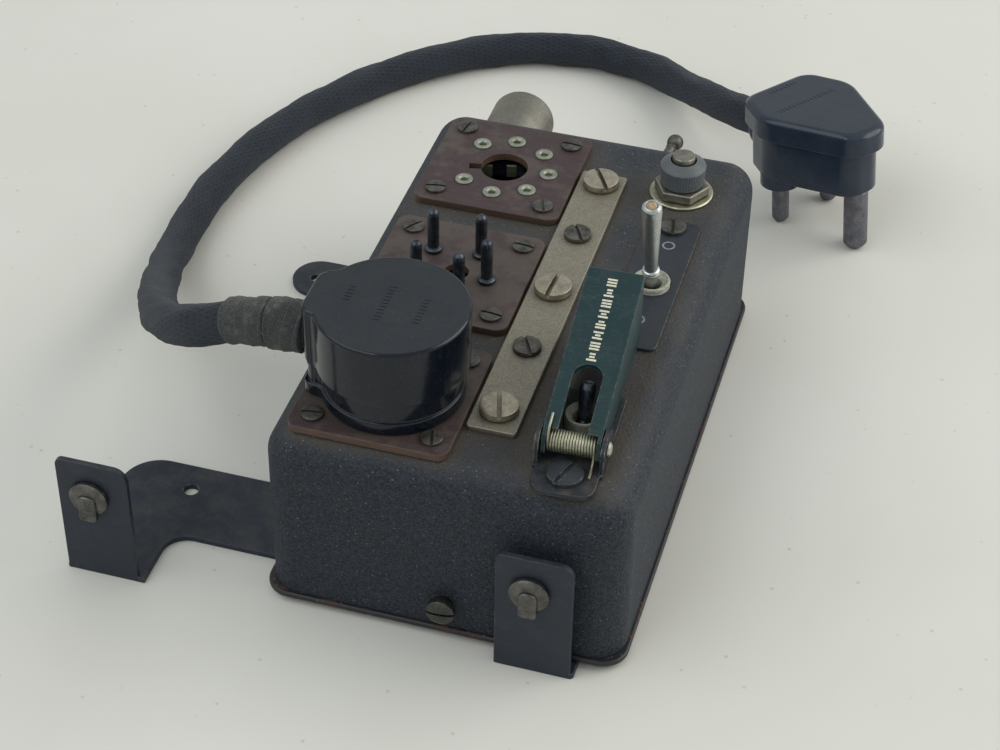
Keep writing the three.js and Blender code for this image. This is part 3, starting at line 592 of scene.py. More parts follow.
def bakelite(name, matt, low, high):
    """Moulded phenolic, near black; matt is from 0 to 1 on the faces that look up."""
    s = Shader(name, IOR=1.4)
    cloud = s.noise(6, 5.0, 0.62)
    s.colour = s.mix(cloud, paint(*low), paint(*high))
    up = s.times(s.fade(s.facing[2], 0.86, 0.99), matt)
    haze = s.times(up, s.span(s.noise(9, 5.0, 0.6), 0.55, 0.95))
    s.tint(haze, (40, 45, 50))
    s.tint(s.specks(0.16, 0.05), (110, 108, 102), 0.3)
    lines = s.most(s.scratches(10, 0.2, 0.1, 40), s.scratches(8, 0.16, 0.08, -50))
    s.tint(lines, (92, 96, 100), 0.25)
    worn = s.times(s.edges(0.5, 0.04, 0.3), s.fade(s.noise(2, 5.0, 0.7), 0.56, 0.66))
    s.tint(worn, (92, 90, 86), 0.4)
    s.bump(s.noise(0.5, 3.0), 0.012)
    s.bump(s.noise(12, 2.0), 0.15)
    rough = s.math("ADD", s.span(cloud, 0.1, 0.22), s.times(up, 0.42))
    return s.made(rough)


BRAID_PITCH = 0.0075     # metres along the cord from one raised ridge to the next


def braid():
    """Cotton braid over rubber, matted and dirty. U runs along the cord in metres, V round it."""
    s = Shader("braid", Sheen_Weight=0.08, Sheen_Roughness=0.5)
    u, v, _ = s.node("ShaderNodeSeparateXYZ", {"Vector": s.along}).outputs
    carriers = 24
    turns = s.math("DIVIDE", u, BRAID_PITCH)
    weave = []
    for way in (1, -1):
        phase = s.math("ADD", s.times(v, carriers), s.times(turns, way * 2))
        weave.append(s.math("SINE", s.times(phase, 2 * math.pi)))
    strands = s.most(*weave)
    fluff = s.noise(0.3, 5.0, 0.75)
    patches = s.fade(s.noise(9, 5.0, 0.62), 0.36, 0.68)
    s.colour = s.mix(s.fade(strands, -0.8, 1.2), paint(13, 19, 28), paint(30, 38, 50))
    s.tint(patches, (42, 49, 58), 0.3)
    s.tint(s.fade(fluff, 0.46, 0.72), (64, 72, 81), 0.5)
    s.tint(s.fade(s.noise(0.5, 4.0), 0.62, 0.72), (14, 17, 22), 0.4)
    s.bump(strands, 0.08)
    s.bump(fluff, 0.3)
    return s.made(0.94)


def binding_tape():
    """Woven insulating tape, dark and dirty, its weave raised."""
    s = Shader("binding_tape", Sheen_Weight=0.2)
    weave = s.times(s.math("SINE", s.times(s.xyz[0], 2 * math.pi / (0.62 * MM))),
                   s.math("SINE", s.times(s.xyz[2], 2 * math.pi / (0.62 * MM))))
    dirt = s.noise(0.5, 5.0, 0.75)
    s.colour = s.mix(s.fade(dirt, 0.35, 0.68), paint(28, 31, 35), paint(70, 72, 70))
    s.tint(s.fade(s.noise(3, 5.0, 0.7), 0.52, 0.66), (112, 107, 90), 0.45)
    s.bump(weave, 0.1)
    s.bump(dirt, 0.4)
    return s.made(0.9)


def plain_mark(name, first, second):
    """A plain dull surface, mottled between two colours."""
    s = Shader(name)
    s.colour = s.mix(s.fade(s.noise(0.5, 4.0, 0.7), 0.35, 0.7), paint(*first), paint(*second))
    s.bump(s.noise(0.3, 3.0), 0.01)
    return s.made(s.span(s.noise(1, 3.0), 0.4, 0.7))


ENAMELS = {     # the share of dust, and the dark and light colours
    "black_paint": (0.35, (19, 27, 38), (36, 45, 57)),
    "label_paint": (0.05, (26, 31, 38), (46, 52, 60)),
    "dusty_paint": (0.6, (15, 21, 28), (30, 36, 43)),
    "collar_grey": (0.3, (72, 78, 83), (98, 104, 108)),
}
PLATES = {      # the light and dark colours, roughness, tarnish, and fineness of the grain
    "nickel": ((196, 195, 186), (150, 149, 138), 0.34, 0.15),
    "nut_nickel": ((150, 148, 138), (108, 105, 96), 0.44, 0.4, 0.3),
    "screw_nickel": ((184, 176, 158), (132, 124, 108), 0.38, 0.45, 0.4),
    "aluminium": ((196, 200, 198), (158, 162, 159), 0.34, 0.1, 0.8),
    "dull_nickel": ((160, 154, 140), (128, 122, 108), 0.52, 0.45, 0.9),
    # The studs' nickel: tarnished, and made darker still to paint in the shade that lies over them.
    "old_nickel_painted_shade": ((112, 110, 106), (60, 59, 58), 0.32, 0.4, 0.3),
    "satin_steel": ((140, 137, 128), (112, 109, 100), 0.5, 0.2, 0.8),
    "dark_steel": ((106, 104, 99), (58, 57, 55), 0.46, 0.6),
    "pin_steel": ((122, 122, 130), (76, 76, 84), 0.4, 0.4, 0.5),
    "side_nickel": ((82, 84, 79), (46, 48, 46), 0.4, 0.4, 0.3),
    "blued_pin": ((76, 82, 92), (34, 38, 46), 0.32, 0.4, 0.3),
    "brass": ((180, 180, 158), (138, 136, 112), 0.42, 0.3),
    "eyelet": ((172, 176, 160), (124, 130, 114), 0.5, 0.4, 0.4),
}
MOULDINGS = {   # how matt the top is, and the dark and light colours
    "bakelite": (0.0, (9, 14, 23), (17, 24, 34)),
    "bakelite_matt": (1.0, (9, 14, 23), (17, 24, 34)),
    "bakelite_worn": (0.5, (28, 36, 50), (48, 58, 72)),
}
MARKS = {       # the two colours that it varies between
    "pale_bush": ((176, 176, 162), (128, 128, 114)),
    "cream_mark": ((226, 222, 200), (178, 178, 160)),
    "grey_mark": ((134, 138, 140), (92, 96, 98)),
    "lamp_mark": ((140, 108, 80), (190, 168, 136)),
}
PANELS = {"paxolin_a": 0.45, "paxolin_b": 1.0, "paxolin_c": 0.7}     # the share of dust
LOOKS = {make.__name__: make() for make in (crackle_paint, base_paint, green_paint, braid, binding_tape)}
LOOKS |= {name: black_paint(name, *how) for name, how in ENAMELS.items()}
LOOKS |= {name: nickel(name, *how) for name, how in PLATES.items()}
LOOKS |= {name: bakelite(name, *how) for name, how in MOULDINGS.items()}
LOOKS |= {name: plain_mark(name, *how) for name, how in MARKS.items()}
LOOKS |= {name: paxolin(name, dust_share) for name, dust_share in PANELS.items()}


# ---- floor
def make_floor():
    mesh = bpy.data.meshes.new("floor")
    half = 3.0
    corners = [(-half, -half, 0), (half, -half, 0), (half, half, 0), (-half, half, 0)]
    mesh.from_pydata(corners, [], [(0, 1, 2, 3)])
    floor = new_object("floor", mesh)
    s = Shader("floor")
    s.colour = s.mix(s.fade(s.noise(130, 4.0, 0.5), 0.3, 0.7), paint(216, 215, 208), paint(210, 208, 200))
    s.tint(s.specks(0.7, 0.012), (150, 144, 134), 0.35)
    s.bump(s.noise(1.2, 3.0), 0.01)
    mesh.materials.append(s.made(s.span(s.noise(50, 2.0), 0.5, 0.65)))


make_floor()

# ---- the cord
CORD_D = 0.0102
STRANDS_ROUND = 12      # ridges that the braid raises round the cord, each way
CORD_ROUTE = [
    (-0.0394, -0.048, 0.065), (-0.046, -0.048, 0.065), (-0.054, -0.048, 0.064), (-0.062, -0.0475, 0.0615),
    (-0.070, -0.046, 0.0575), (-0.0775, -0.041, 0.052), (-0.084, -0.0335, 0.046), (-0.0905, -0.024, 0.0395),
    (-0.096, -0.0135, 0.033), (-0.1015, -0.002, 0.0265), (-0.1065, 0.010, 0.020), (-0.111, 0.022, 0.014),
    (-0.115, 0.035, 0.009), (-0.1175, 0.0485, 0.006), (-0.1185, 0.062, 0.0053), (-0.118, 0.076, 0.0053),
    (-0.116, 0.090, 0.0053), (-0.112, 0.105, 0.0053), (-0.107, 0.119, 0.0053), (-0.099, 0.134, 0.0053),
    (-0.089, 0.149, 0.0053), (-0.077, 0.162, 0.0053), (-0.062, 0.174, 0.0053), (-0.045, 0.1815, 0.0053),
    (-0.027, 0.1835, 0.0053), (-0.009, 0.179, 0.006), (0.004, 0.1695, 0.008), (0.013, 0.160, 0.0115),
    (0.0208, 0.1512, 0.0152), (0.028, 0.1443, 0.0182), (0.0355, 0.1385, 0.020),
]
CORD_RINGS = 620
CORD_SIDES = 48


def smooth_line(points, count):
    """Evenly spaced points on the centripetal Catmull-Rom curve through the given ones."""
    points = [Vector(p) for p in points]
    points = [2 * points[0] - points[1], *points, 2 * points[-1] - points[-2]]
    dense = []
    for p0, p1, p2, p3 in zip(points, points[1:], points[2:], points[3:]):
        t1 = math.sqrt((p1 - p0).length)
        t2 = t1 + math.sqrt((p2 - p1).length)
        t3 = t2 + math.sqrt((p3 - p2).length)
        for k in range(24):
            t = t1 + (t2 - t1) * k / 24
            a1 = p0.lerp(p1, t / t1)
            a2 = p1.lerp(p2, (t - t1) / (t2 - t1))
            a3 = p2.lerp(p3, (t - t2) / (t3 - t2))
            dense.append(a1.lerp(a2, t / t2).lerp(a2.lerp(a3, (t - t1) / (t3 - t1)), (t - t1) / (t2 - t1)))
    dense.append(points[-2])
    dense = np.array([tuple(p) for p in dense])
    run = np.concatenate([[0], np.cumsum(np.linalg.norm(np.diff(dense, axis=0), axis=1))])
    at = np.linspace(0, run[-1], count)
    return np.stack([np.interp(at, run, dense[:, i]) for i in range(3)], 1), run[-1]


CORD_LINE, CORD_LENGTH = smooth_line(CORD_ROUTE, CORD_RINGS)


def lumpy_radius(line, radius, sides, lump, size, seed):
    """The radius at each ring and side, with soft lumps of a size in metres."""
    turn = full_turn(sides)
    made = []
    for p in line:
        x, y, z = p / size
        spokes = [Vector((x + seed, y + 1.3 * math.cos(a), z + 1.3 * math.sin(a))) for a in turn]
        made.append([radius + lump * noise.noise(s) for s in spokes])
    return np.array(made)


def make_cord():
    radius = lumpy_radius(CORD_LINE, CORD_D / 2, CORD_SIDES, 0.0006, 0.011, 3.0)
    turn = full_turn(CORD_SIDES)
    along = np.linspace(0, CORD_LENGTH, CORD_RINGS)
    for way in (1, -1):
        strand = np.sin(STRANDS_ROUND * turn[None, :] + way * 2 * math.pi * along[:, None] / BRAID_PITCH)
        radius += 0.00004 * strand
    solid = tube(CORD_LINE / MM, radius / MM, CORD_SIDES)
    cord = piece("cord", solid, "braid", "lead_cord", sharp=70)
    layer = cord.data.uv_layers.new(name="along")
    corners = np.zeros(len(cord.data.loops), np.int32)
    cord.data.loops.foreach_get("vertex_index", corners)
    uv = np.stack([along[corners // CORD_SIDES], (corners % CORD_SIDES) / CORD_SIDES], 1)
    starts = np.zeros(len(cord.data.polygons), np.int32)
    cord.data.polygons.foreach_get("loop_start", starts)
    for start in starts[: (CORD_RINGS - 1) * CORD_SIDES]:
        quad = uv[start:start + 4]
        if quad[:, 1].max() - quad[:, 1].min() > 0.5:
            quad[quad[:, 1] < 0.5, 1] += 1
    layer.data.foreach_set("uv", uv.astype(np.float32).ravel())
    return cord


def make_binding(name, start, length, r0, r1, wraps, seed):
    """Tape wound round the cord from one distance along it, thinning from r0 to r1, its edges ragged."""
    count = 60
    along = np.linspace(0, CORD_LENGTH, CORD_RINGS)
    at = np.linspace(start, start + length, count)
    line = np.stack([np.interp(at, along, CORD_LINE[:, i]) for i in range(3)], 1)
    radius = lumpy_radius(line, 0, 40, 0.0005, 0.004, seed)
    share = np.linspace(0, 1, count)
    radius += (r0 + (r1 - r0) * share)[:, None]
    turn = np.arange(40) / 40
    radius += 0.00022 * ((share[:, None] * wraps + turn[None, :]) % 1.0)
    ease = np.clip(np.minimum(share, 1 - share) / 0.05, 0, 1)[:, None]
    radius = CORD_D * 0.46 + (radius - CORD_D * 0.46) * np.sqrt(ease)
    return piece(name, tube(line / MM, radius / MM, 40), "binding_tape", "lead_cord", adds=True, sharp=70)


cord = make_cord()
inner_binding = make_binding("inner_binding", 0.0012, 0.0095, 0.0064, 0.0061, 3, 7.0)
outer_binding = make_binding("outer_binding", 0.0102, 0.0115, 0.0059, 0.0055, 4, 11.0)


# ---- the housing
CASE_EDGE, CASE_CORNER, CASE_WALL = 7.7, 8.0, 2.0
# The radius of the hole that each node goes through.
TOP_HOLES = {"panel_a_contacts": 15.8, "panel_b_pins": 13, "panel_c_contacts": 15.8,
             "main_switch": 5.1, "guarded_switch": 4.8, "button_switch": 5.3}
WALL_HOLES = {"rear_switch": (3.3, UP_REAR), "rear_knob_bush": (3.8, UP_REAR), "side_screw": (2.1, UP_FRONT)}


def case_ring(half_w, half_l, drawn_in, z):
    radius = max(CASE_CORNER - drawn_in, 0.5)
    half_w, half_l = half_w - drawn_in, half_l - drawn_in
    return at_height(rectangle(-half_w, half_w, -half_l, half_l, radius, 10), z)


def make_housing():
    _, lo, hi = spot("case_housing")
    half_w, half_l = hi.x, hi.y
    roof = hi.z - CASE_WALL
    rings = [case_ring(half_w, half_l, CASE_WALL + wall, roof - flat)
             for wall, flat in reversed(quarter(CASE_EDGE - CASE_WALL, 10))]
    rings += [case_ring(half_w, half_l, drawn_in, lo.z) for drawn_in in (CASE_WALL, 0)]
    rings += [case_ring(half_w, half_l, wall, hi.z - flat) for wall, flat in quarter(CASE_EDGE, 10)]
    openings = []
    for node, radius in TOP_HOLES.items():
        mid, _, _ = spot(node)
        openings.append(rod(radius, roof - 3, hi.z + 3, mid.x, mid.y, 40))
    for node, (radius, turned) in WALL_HOLES.items():
        mid, _, _ = spot(node)
        openings.append(moved(rod(radius, half_l - 6, half_l + 6), placed(mid.x, 0, mid.z, turned)))
    piece("housing", cut(loft(rings), *openings), "crackle_paint", "case_housing")


def make_base_plate():
    _, lo, hi = spot("case_base_plate")
    solid = slab(rectangle(lo.x, hi.x, lo.y, hi.y, 6.5, 10), lo.z, hi.z, 0.4, 0.6)
    piece("base_plate", solid, "base_paint", "case_base_plate")


make_housing()
make_base_plate()


# ---- screws
def screw_solid(head_r, head_h, shank_r, shank_l, dome, slot_angle, slot_share=0.24):
    """A slotted screw standing on z = 0; dome is the crown's rise as a share of the head's height."""
    wall = head_h * (1 - dome)
    crown = [(head_r * math.sin(a), wall + head_h * dome * math.cos(a))
             for a in np.linspace(math.pi / 2 * 0.94, 0, 9)[:-1]]
    profile = [(0, -shank_l), (shank_r, -shank_l), (shank_r, 0), (head_r * 0.97, 0), (head_r, head_h * 0.08),
               (head_r, wall * 0.96), *crown, (0, head_h)]
    half = head_r * slot_share / 2
    slot = moved(block(-head_r * 1.3, head_r * 1.3, -half, half, head_h * 0.42, head_h * 2),
                 Matrix.Rotation(math.radians(slot_angle), 4, "Z"))
    return cut(lathe(profile, 40), slot)


def make_screw(node, head_h, slot_angle, look, dome, shank_r=1.2):
    mid, lo, hi = spot(node)
    head_r = (hi.x - lo.x) / 2
    bearing = hi.z - head_h
    solid = screw_solid(head_r, head_h, shank_r, bearing - lo.z, dome, slot_angle)
    piece(node + "_turned", shifted(solid, mid.x, mid.y, bearing), look, node, bevel=0.07)


PANEL_SCREW_ANGLES = {"a": (80, -2, 10, 110), "b": (54, -5, 20, -5), "c": (30, 110, 10, 105)}
for letter, angles in PANEL_SCREW_ANGLES.items():
    for i, angle in enumerate(angles):
        make_screw(f"panel_{letter}_screw_{i + 1}", 0.9, angle, "dark_steel", 0.3)
STRIP_SCREW_ANGLES = (106, 118, 86, 119, 120)
for i, angle in enumerate(STRIP_SCREW_ANGLES):
    if i % 2 == 0:
        make_screw(f"strip_screw_{i + 1}", 2.3, angle, "screw_nickel", 0.22, 1.6)
    else:
        make_screw(f"strip_screw_{i + 1}", 1.4, angle, "dark_steel", 0.25, 1.6)
make_screw("guard_base_screw", 1.3, 70, "label_paint", 0.3, 1.6)
make_screw("toggle_label_screw", 1.2, 100, "dark_steel", 0.3)


def make_side_screw():
    mid, lo, hi = spot("side_screw")
    head_h = 2.4
    bearing = lo.y + head_h
    place = placed(mid.x, bearing, mid.z, UP_FRONT)
    solid = screw_solid((hi.x - lo.x) / 2, head_h, 1.8, hi.y - bearing, 0.35, 4, 0.2)
    piece("side_screw_turned", moved(solid, place), "side_nickel", "side_screw", bevel=0.07)


make_side_screw()

# ---- connector panels
KEY_HOLE_R, KEYWAY_REACH, KEYWAY_HALF, KEYWAY_TURN = 6.3, 3.2, 1.2, 13
CONTACT_RING, CONTACT_ANGLES = 12.2, (0, 45, 90, 135, 225, 270, 315)
EYELET_R, EYELET_BORE, CAVITY_R = 2.4, 0.95, 8.4
KEY_SPRINGS_X = ((-5.9, -3.2), (0.7, 3.3))
PIN_COUNT, PIN_R = 5, 1.5


def key_outline():
    """The round key hole with its keyway to the left, anticlockwise."""
    half = math.degrees(math.asin(KEYWAY_HALF / KEY_HOLE_R))
    round_part = arc(KEY_HOLE_R, -180 + half, 180 - half, 44)
    end = -KEY_HOLE_R - KEYWAY_REACH
    outline = np.concatenate([round_part, [(end, KEYWAY_HALF), (end, -KEYWAY_HALF)]])
    turn = math.radians(KEYWAY_TURN)
    return outline @ np.array([(math.cos(turn), math.sin(turn)), (-math.sin(turn), math.cos(turn))])


def key_cutter(x, y, z0, z1):
    outline = key_outline() + (x, y)
    return loft([at_height(outline, z0), at_height(outline, z1)])


def ring_places(x, y, radius, angles):
    return [(x + radius * math.cos(math.radians(a)), y + radius * math.sin(math.radians(a))) for a in angles]


def panel_slab(node):
    mid, lo, hi = spot(node)
    return slab(rectangle(lo.x, hi.x, lo.y, hi.y, 3, 8), lo.z, hi.z, 0.15, 0.25, 2), mid, lo, hi


def make_socket_panel(letter):
    solid, mid, lo, hi = panel_slab(f"panel_{letter}_socket")
    places = ring_places(mid.x, mid.y, CONTACT_RING, CONTACT_ANGLES)
    bores = together(*(rod(2.0, lo.z - 1, hi.z + 1, x, y, 28) for x, y in places))
    solid = cut(solid, key_cutter(mid.x, mid.y, lo.z - 1, hi.z + 1), bores)
    piece(f"socket_panel_{letter}", solid, f"paxolin_{letter}", f"panel_{letter}_socket", bevel=0.12)
    top = hi.z
    _, wafer_lo, _ = spot(f"panel_{letter}_contacts")
    wafer = lathe(soften([(0, wafer_lo.z), (15.2, wafer_lo.z), (15.2, lo.z - 0.5), (0, lo.z - 0.5)], 0.3), 64)
    wafer = cut(shifted(wafer, mid.x, mid.y), rod(CAVITY_R, wafer_lo.z + 0.8, top, mid.x, mid.y),
                key_cutter(mid.x, mid.y, wafer_lo.z - 1, top))
    piece(f"wafer_{letter}", wafer, "bakelite", f"panel_{letter}_contacts", bevel=0.1)
    plates = together(*(block(x0, x1, 4.2, 4.9, wafer_lo.z + 0.9, lo.z - 0.7) for x0, x1 in KEY_SPRINGS_X))
    plates = moved(plates, placed(mid.x, mid.y, 0, Matrix.Rotation(math.radians(16), 4, "Z")))
    piece(f"key_springs_{letter}", plates, "brass", f"panel_{letter}_contacts", adds=True)
    rim = EYELET_R
    bore = EYELET_BORE
    profile = [(0, -3.4), (1.8, -3.4), (1.85, 0.04), (rim - 0.05, 0.04), (rim, 0.2), (rim - 0.12, 0.4),
               (rim - 0.45, 0.5), (bore + 0.55, 0.46), (bore + 0.2, 0.25), (bore, -0.1), (bore - 0.15, -0.7),
               (0.25, -0.95), (0, -0.95)]
    eyelets = together(*(shifted(lathe(profile, 32), x, y, top) for x, y in places))
    piece(f"eyelets_{letter}", eyelets, "eyelet", f"panel_{letter}_contacts", adds=True)


def make_pin_panel():
    solid, mid, lo, hi = panel_slab("panel_b_pins")
    places = [spot(f"contact_pin_{i + 1}")[0] for i in range(PIN_COUNT)]
    bores = together(*(rod(1.6, lo.z - 1, hi.z + 1, p.x, p.y, 28) for p in places))
    solid = cut(solid, rod(3.2, lo.z - 1, hi.z + 1, mid.x + 1.3, mid.y), bores)
    piece("pin_panel", solid, "paxolin_b", "panel_b_pins", bevel=0.12)
    for i, place in enumerate(places):
        _, foot, tip = spot(f"contact_pin_{i + 1}")
        rise = tip.z - hi.z
        profile = soften([
            (0, foot.z - hi.z), (PIN_R, foot.z - hi.z), (PIN_R, 0.1), (2.3, 0.1), (2.3, 0.95), (1.85, 1.3),
            (PIN_R, 1.35), (PIN_R, rise - 1.7), (1.25, rise - 0.8), (0.7, rise - 0.15), (0, rise),
        ], 0.3)
        piece(f"socket_pin_{i + 1}", shifted(lathe(profile, 36), place.x, place.y, hi.z), "blued_pin",
              f"contact_pin_{i + 1}")


make_socket_panel("a")
make_socket_panel("c")
make_pin_panel()


def make_strip():
    _, lo, hi = spot("contact_strip")
    solid = slab(rectangle(lo.x, hi.x, lo.y, hi.y, 0.9, 4), lo.z, hi.z, 0.1, 0.3)
    piece("strip", solid, "dull_nickel", "contact_strip")


make_strip()

# ---- toggle guard
GUARD_W, GUARD_SHEET, EAR_T = 13.8, 1.0, 1.0
GUARD_CLEAR = 0.3
GUARD_SLOT_HALF, GUARD_SLOT_END = 3.5, 17.9      # its end is counted from the hinge, to the rear
GUARD_REACH = 45.9
TONGUE_HALF, TONGUE_ROOT, TONGUE_FRONT = 7.6, -5.1, -13.4
SPRING_R, SPRING_WIRE, SPRING_TURNS = 2.4, 0.34, 16
# Each leg's points behind the hinge, and above or below it.
SPRING_LEG_UP = ((2.6, 5.75), (0.9, 5.3), (-0.7, 4.8), (-1.9, 3.5), (-2.4, 1.8))
SPRING_LEG_DOWN = ((-2.55, 1.4), (-3.1, 2.6), (-4.0, 3.2), (-5.6, 3.3), (-7.4, 3.3))
HINGE = pivot("guard_hinge")
HINGE_AXIS = Vector(JOINTS["guard_hinge"]["axis"])
SWITCH_BEHIND_HINGE = (pivot("guarded_toggle_throw") - HINGE).to_2d().length
# The guard's own frame: X along its hinge, Y to its rear, and Z up from the floor.
GUARD_PLACE = (Matrix.Translation((HINGE.x, HINGE.y, 0))
               @ Matrix.Rotation(math.atan2(HINGE_AXIS.y, HINGE_AXIS.x), 4, "Z"))


def sideways(outline, x0, x1):
    """A prism from a (y, z) outline between two x."""
    flat = loft([at_height(outline, x0), at_height(outline, x1)])
    return flat[0][:, [2, 0, 1]], flat[1]


def make_guard():
    top = spot("guard_cover")[2].z
    z, half_w = HINGE.z, GUARD_W / 2
    rise_front = z + 4.7
    slope = (top - rise_front) / (GUARD_REACH - 1)
    side = rounded([
        (-3.2, z - 1.6), (-1.4, z - 3.2), (5, z - 2.5), (GUARD_REACH - 3, z - 1.9), (GUARD_REACH, z + 0.8),
        (GUARD_REACH, top), (1, rise_front), (-2, z + 3),
    ], [0.9, 0.9, 3, 2, 1.2, 0.7, 1.6, 0.9], 5)
    cover = sideways(side, -half_w, half_w)
    plan = rounded([(-half_w, -6), (half_w, -6), (half_w, GUARD_REACH), (-half_w, GUARD_REACH)],
                   [0, 0, 1.6, 1.6], 6)
    cover = boolean("INTERSECT", cover, loft([at_height(plan, z - 20), at_height(plan, z + 40)]))
    roof = 1.03
    hollow = sideways(np.array([
        (-30, z - 20), (GUARD_REACH + 20, z - 20), (GUARD_REACH + 20, top + 20 * slope - roof),
        (GUARD_REACH, top - roof), (1, rise_front - roof), (-2, rise_front - 0.6), (-30, rise_front),
    ]), GUARD_SHEET - half_w, half_w - GUARD_SHEET)
    slot = np.concatenate([
        arc(GUARD_SLOT_HALF, 0, 180, 20, 0, GUARD_SLOT_END - GUARD_SLOT_HALF),
        [(-GUARD_SLOT_HALF, -20), (GUARD_SLOT_HALF, -20)],
    ])
    slot = loft([at_height(slot, z - 20), at_height(slot, z + 40)])
    bore = moved(rod(1.5, -20, 20), placed(0, 0, z, UP_X))
    solid = moved(cut(cover, hollow, slot, bore), GUARD_PLACE)
    piece("guard_sheet", solid, "green_paint", "guard_cover", bevel=0.42)
    marks, y = [], GUARD_SLOT_END + 1.2
    lean = Matrix.Rotation(math.atan(slope), 4, "X")
    for group in range(8):
        lengths = 1.2, 1.2 if group % 2 else 0.65, 1.2 if group % 3 else 0.7
        for offset, half_long in zip((0.0, 0.85, 1.7), lengths):
            bar = block(-half_long, half_long, -0.27, 0.27, 0.0, 0.06, 0.12)
            at = y + offset
            place = Matrix.Translation((-0.3, at, rise_front + slope * (at - 1) - 0.01))
            marks.append(moved(bar, GUARD_PLACE @ place @ lean))
        y += 3.1
    piece("guard_marks", together(*marks), "cream_mark", "guard_cover", adds=True)


def make_guard_base():
    _, lo, hi = spot("guard_base")
    inner = GUARD_W / 2 + GUARD_CLEAR
    outer = inner + EAR_T
    plan = rounded([
        (-outer, 23.4), (-outer, TONGUE_ROOT), (-TONGUE_HALF, TONGUE_ROOT - 0.6),
        (-TONGUE_HALF, TONGUE_FRONT), (TONGUE_HALF, TONGUE_FRONT),
        (TONGUE_HALF, TONGUE_ROOT - 0.6), (outer, TONGUE_ROOT), (outer, 23.4),
    ], [1, 0.4, 0.3, 3.6, 3.6, 0.3, 0.4, 1], 8)
    sheet = slab(plan, lo.z, lo.z + 1.2, 0.15, 0.3)
    ear = rounded([
        (-5.1, lo.z), (7.4, lo.z), (4.9, hi.z - 1.8), (2.4, hi.z), (-2.1, hi.z), (-4.1, hi.z - 2),
    ], [0, 0, 2, 1.6, 1.6, 1.5], 5)
    ears = [sideways(ear, -outer, -inner), sideways(ear, inner, outer)]
    bore = moved(rod(1.5, -20, 20), placed(0, 0, HINGE.z, UP_X))
    solid = cut(fuse(sheet, *ears), bore, rod(4.8, lo.z - 5, hi.z + 5, 0, SWITCH_BEHIND_HINGE))
    piece("guard_bracket", moved(solid, GUARD_PLACE), "dusty_paint", "guard_base", bevel=0.18)


def make_guard_hinge():
    outer = GUARD_W / 2 + GUARD_CLEAR + EAR_T
    length = 2 * outer + 0.9
    place = GUARD_PLACE @ placed(outer, 0, HINGE.z, UP_X)
    profile = [(0, 1.0), (1.0, 0.95), (1.7, 0.6), (2.0, 0.05), (1.2, 0), (1.2, 0.6 - length),
               (0.7, 0.1 - length), (0, -length)]
    piece("hinge_pin", moved(lathe(soften(profile, 0.15)[::-1], 32), place), "nickel", "guard_pin")
    count = SPRING_TURNS * 20
    share = np.linspace(0, 1, count + 1)
    turn = math.pi + share * SPRING_TURNS * 2 * math.pi
    reach = GUARD_W / 2 - GUARD_SHEET - 0.15 - SPRING_WIRE
    coil = np.stack([reach * (2 * share - 1), SPRING_R * np.cos(turn), HINGE.z + SPRING_R * np.sin(turn)], 1)
    leg_up = [(-reach, y, HINGE.z + rise) for y, rise in SPRING_LEG_UP]
    leg_down = [(reach, y, HINGE.z - drop) for y, drop in SPRING_LEG_DOWN]
    line = np.concatenate([leg_up, coil, leg_down])
    piece("hinge_spring", moved(tube(line, SPRING_WIRE, 10), GUARD_PLACE), "brass", "guard_spring",
          sharp=70)


make_guard()
make_guard_base()
make_guard_hinge()

# ---- toggle switches
MAIN_TILT, GUARDED_TILT = 11, -22     # degrees to the front at rest; the guarded one leans to the rear


def make_switch(node, joint, turned, bush_r, top, mouth, width, length, look):
    """A toggle switch: a threaded bush through the case top, and its body below."""
    _, lo, _ = spot(node)
    case_top = spot("case_housing")[2].z
    roof = case_top - CASE_WALL - 0.1
    threads = [(bush_r - 0.25 * (i % 2), case_top + 0.2 + 0.3 * i) for i in range(5)]
    bush = lathe([
        (2.7, roof - 6), (bush_r, roof - 6), *threads, (bush_r, top - 0.5), (bush_r - 0.15, top - 0.15),
        (bush_r - 0.5, top), (mouth + 0.15, top), (mouth, top - 0.25), (3.3, top - 0.8),
        (2.7, top - 1.3), (2.7, roof - 6),
    ], 56)
    body = block(-width / 2, width / 2, -length / 2, length / 2, lo.z, roof, 1.2, 0.5)
    body = cut(body, rod(2.7, roof - 6, roof + 5))
    at = pivot(joint)
    solid = moved(together(bush, body), placed(at.x, at.y, 0, turned))
    piece(node + "_bush", solid, look, node)


def make_guarded_toggle():
    turned = GUARD_PLACE.to_3x3().to_4x4()
    make_switch("guarded_switch", "guarded_toggle_throw", turned, 4.5, 55.6, 3.9, 13, 24, "pale_bush")
    profile = soften([(0, -2.3), (1.6, -1.6), (2.3, 0), (1.6, 1.8), (1.7, 4), (2.0, 9.4), (1.6, 10.8),
                      (0, 11.2)], 0.6)
    place = (Matrix.Translation(pivot("guarded_toggle_throw")) @ turned
             @ Matrix.Rotation(math.radians(GUARDED_TILT), 4, "X"))
    piece("guarded_lever", moved(lathe(profile, 36), place), "blued_pin", "guarded_toggle")


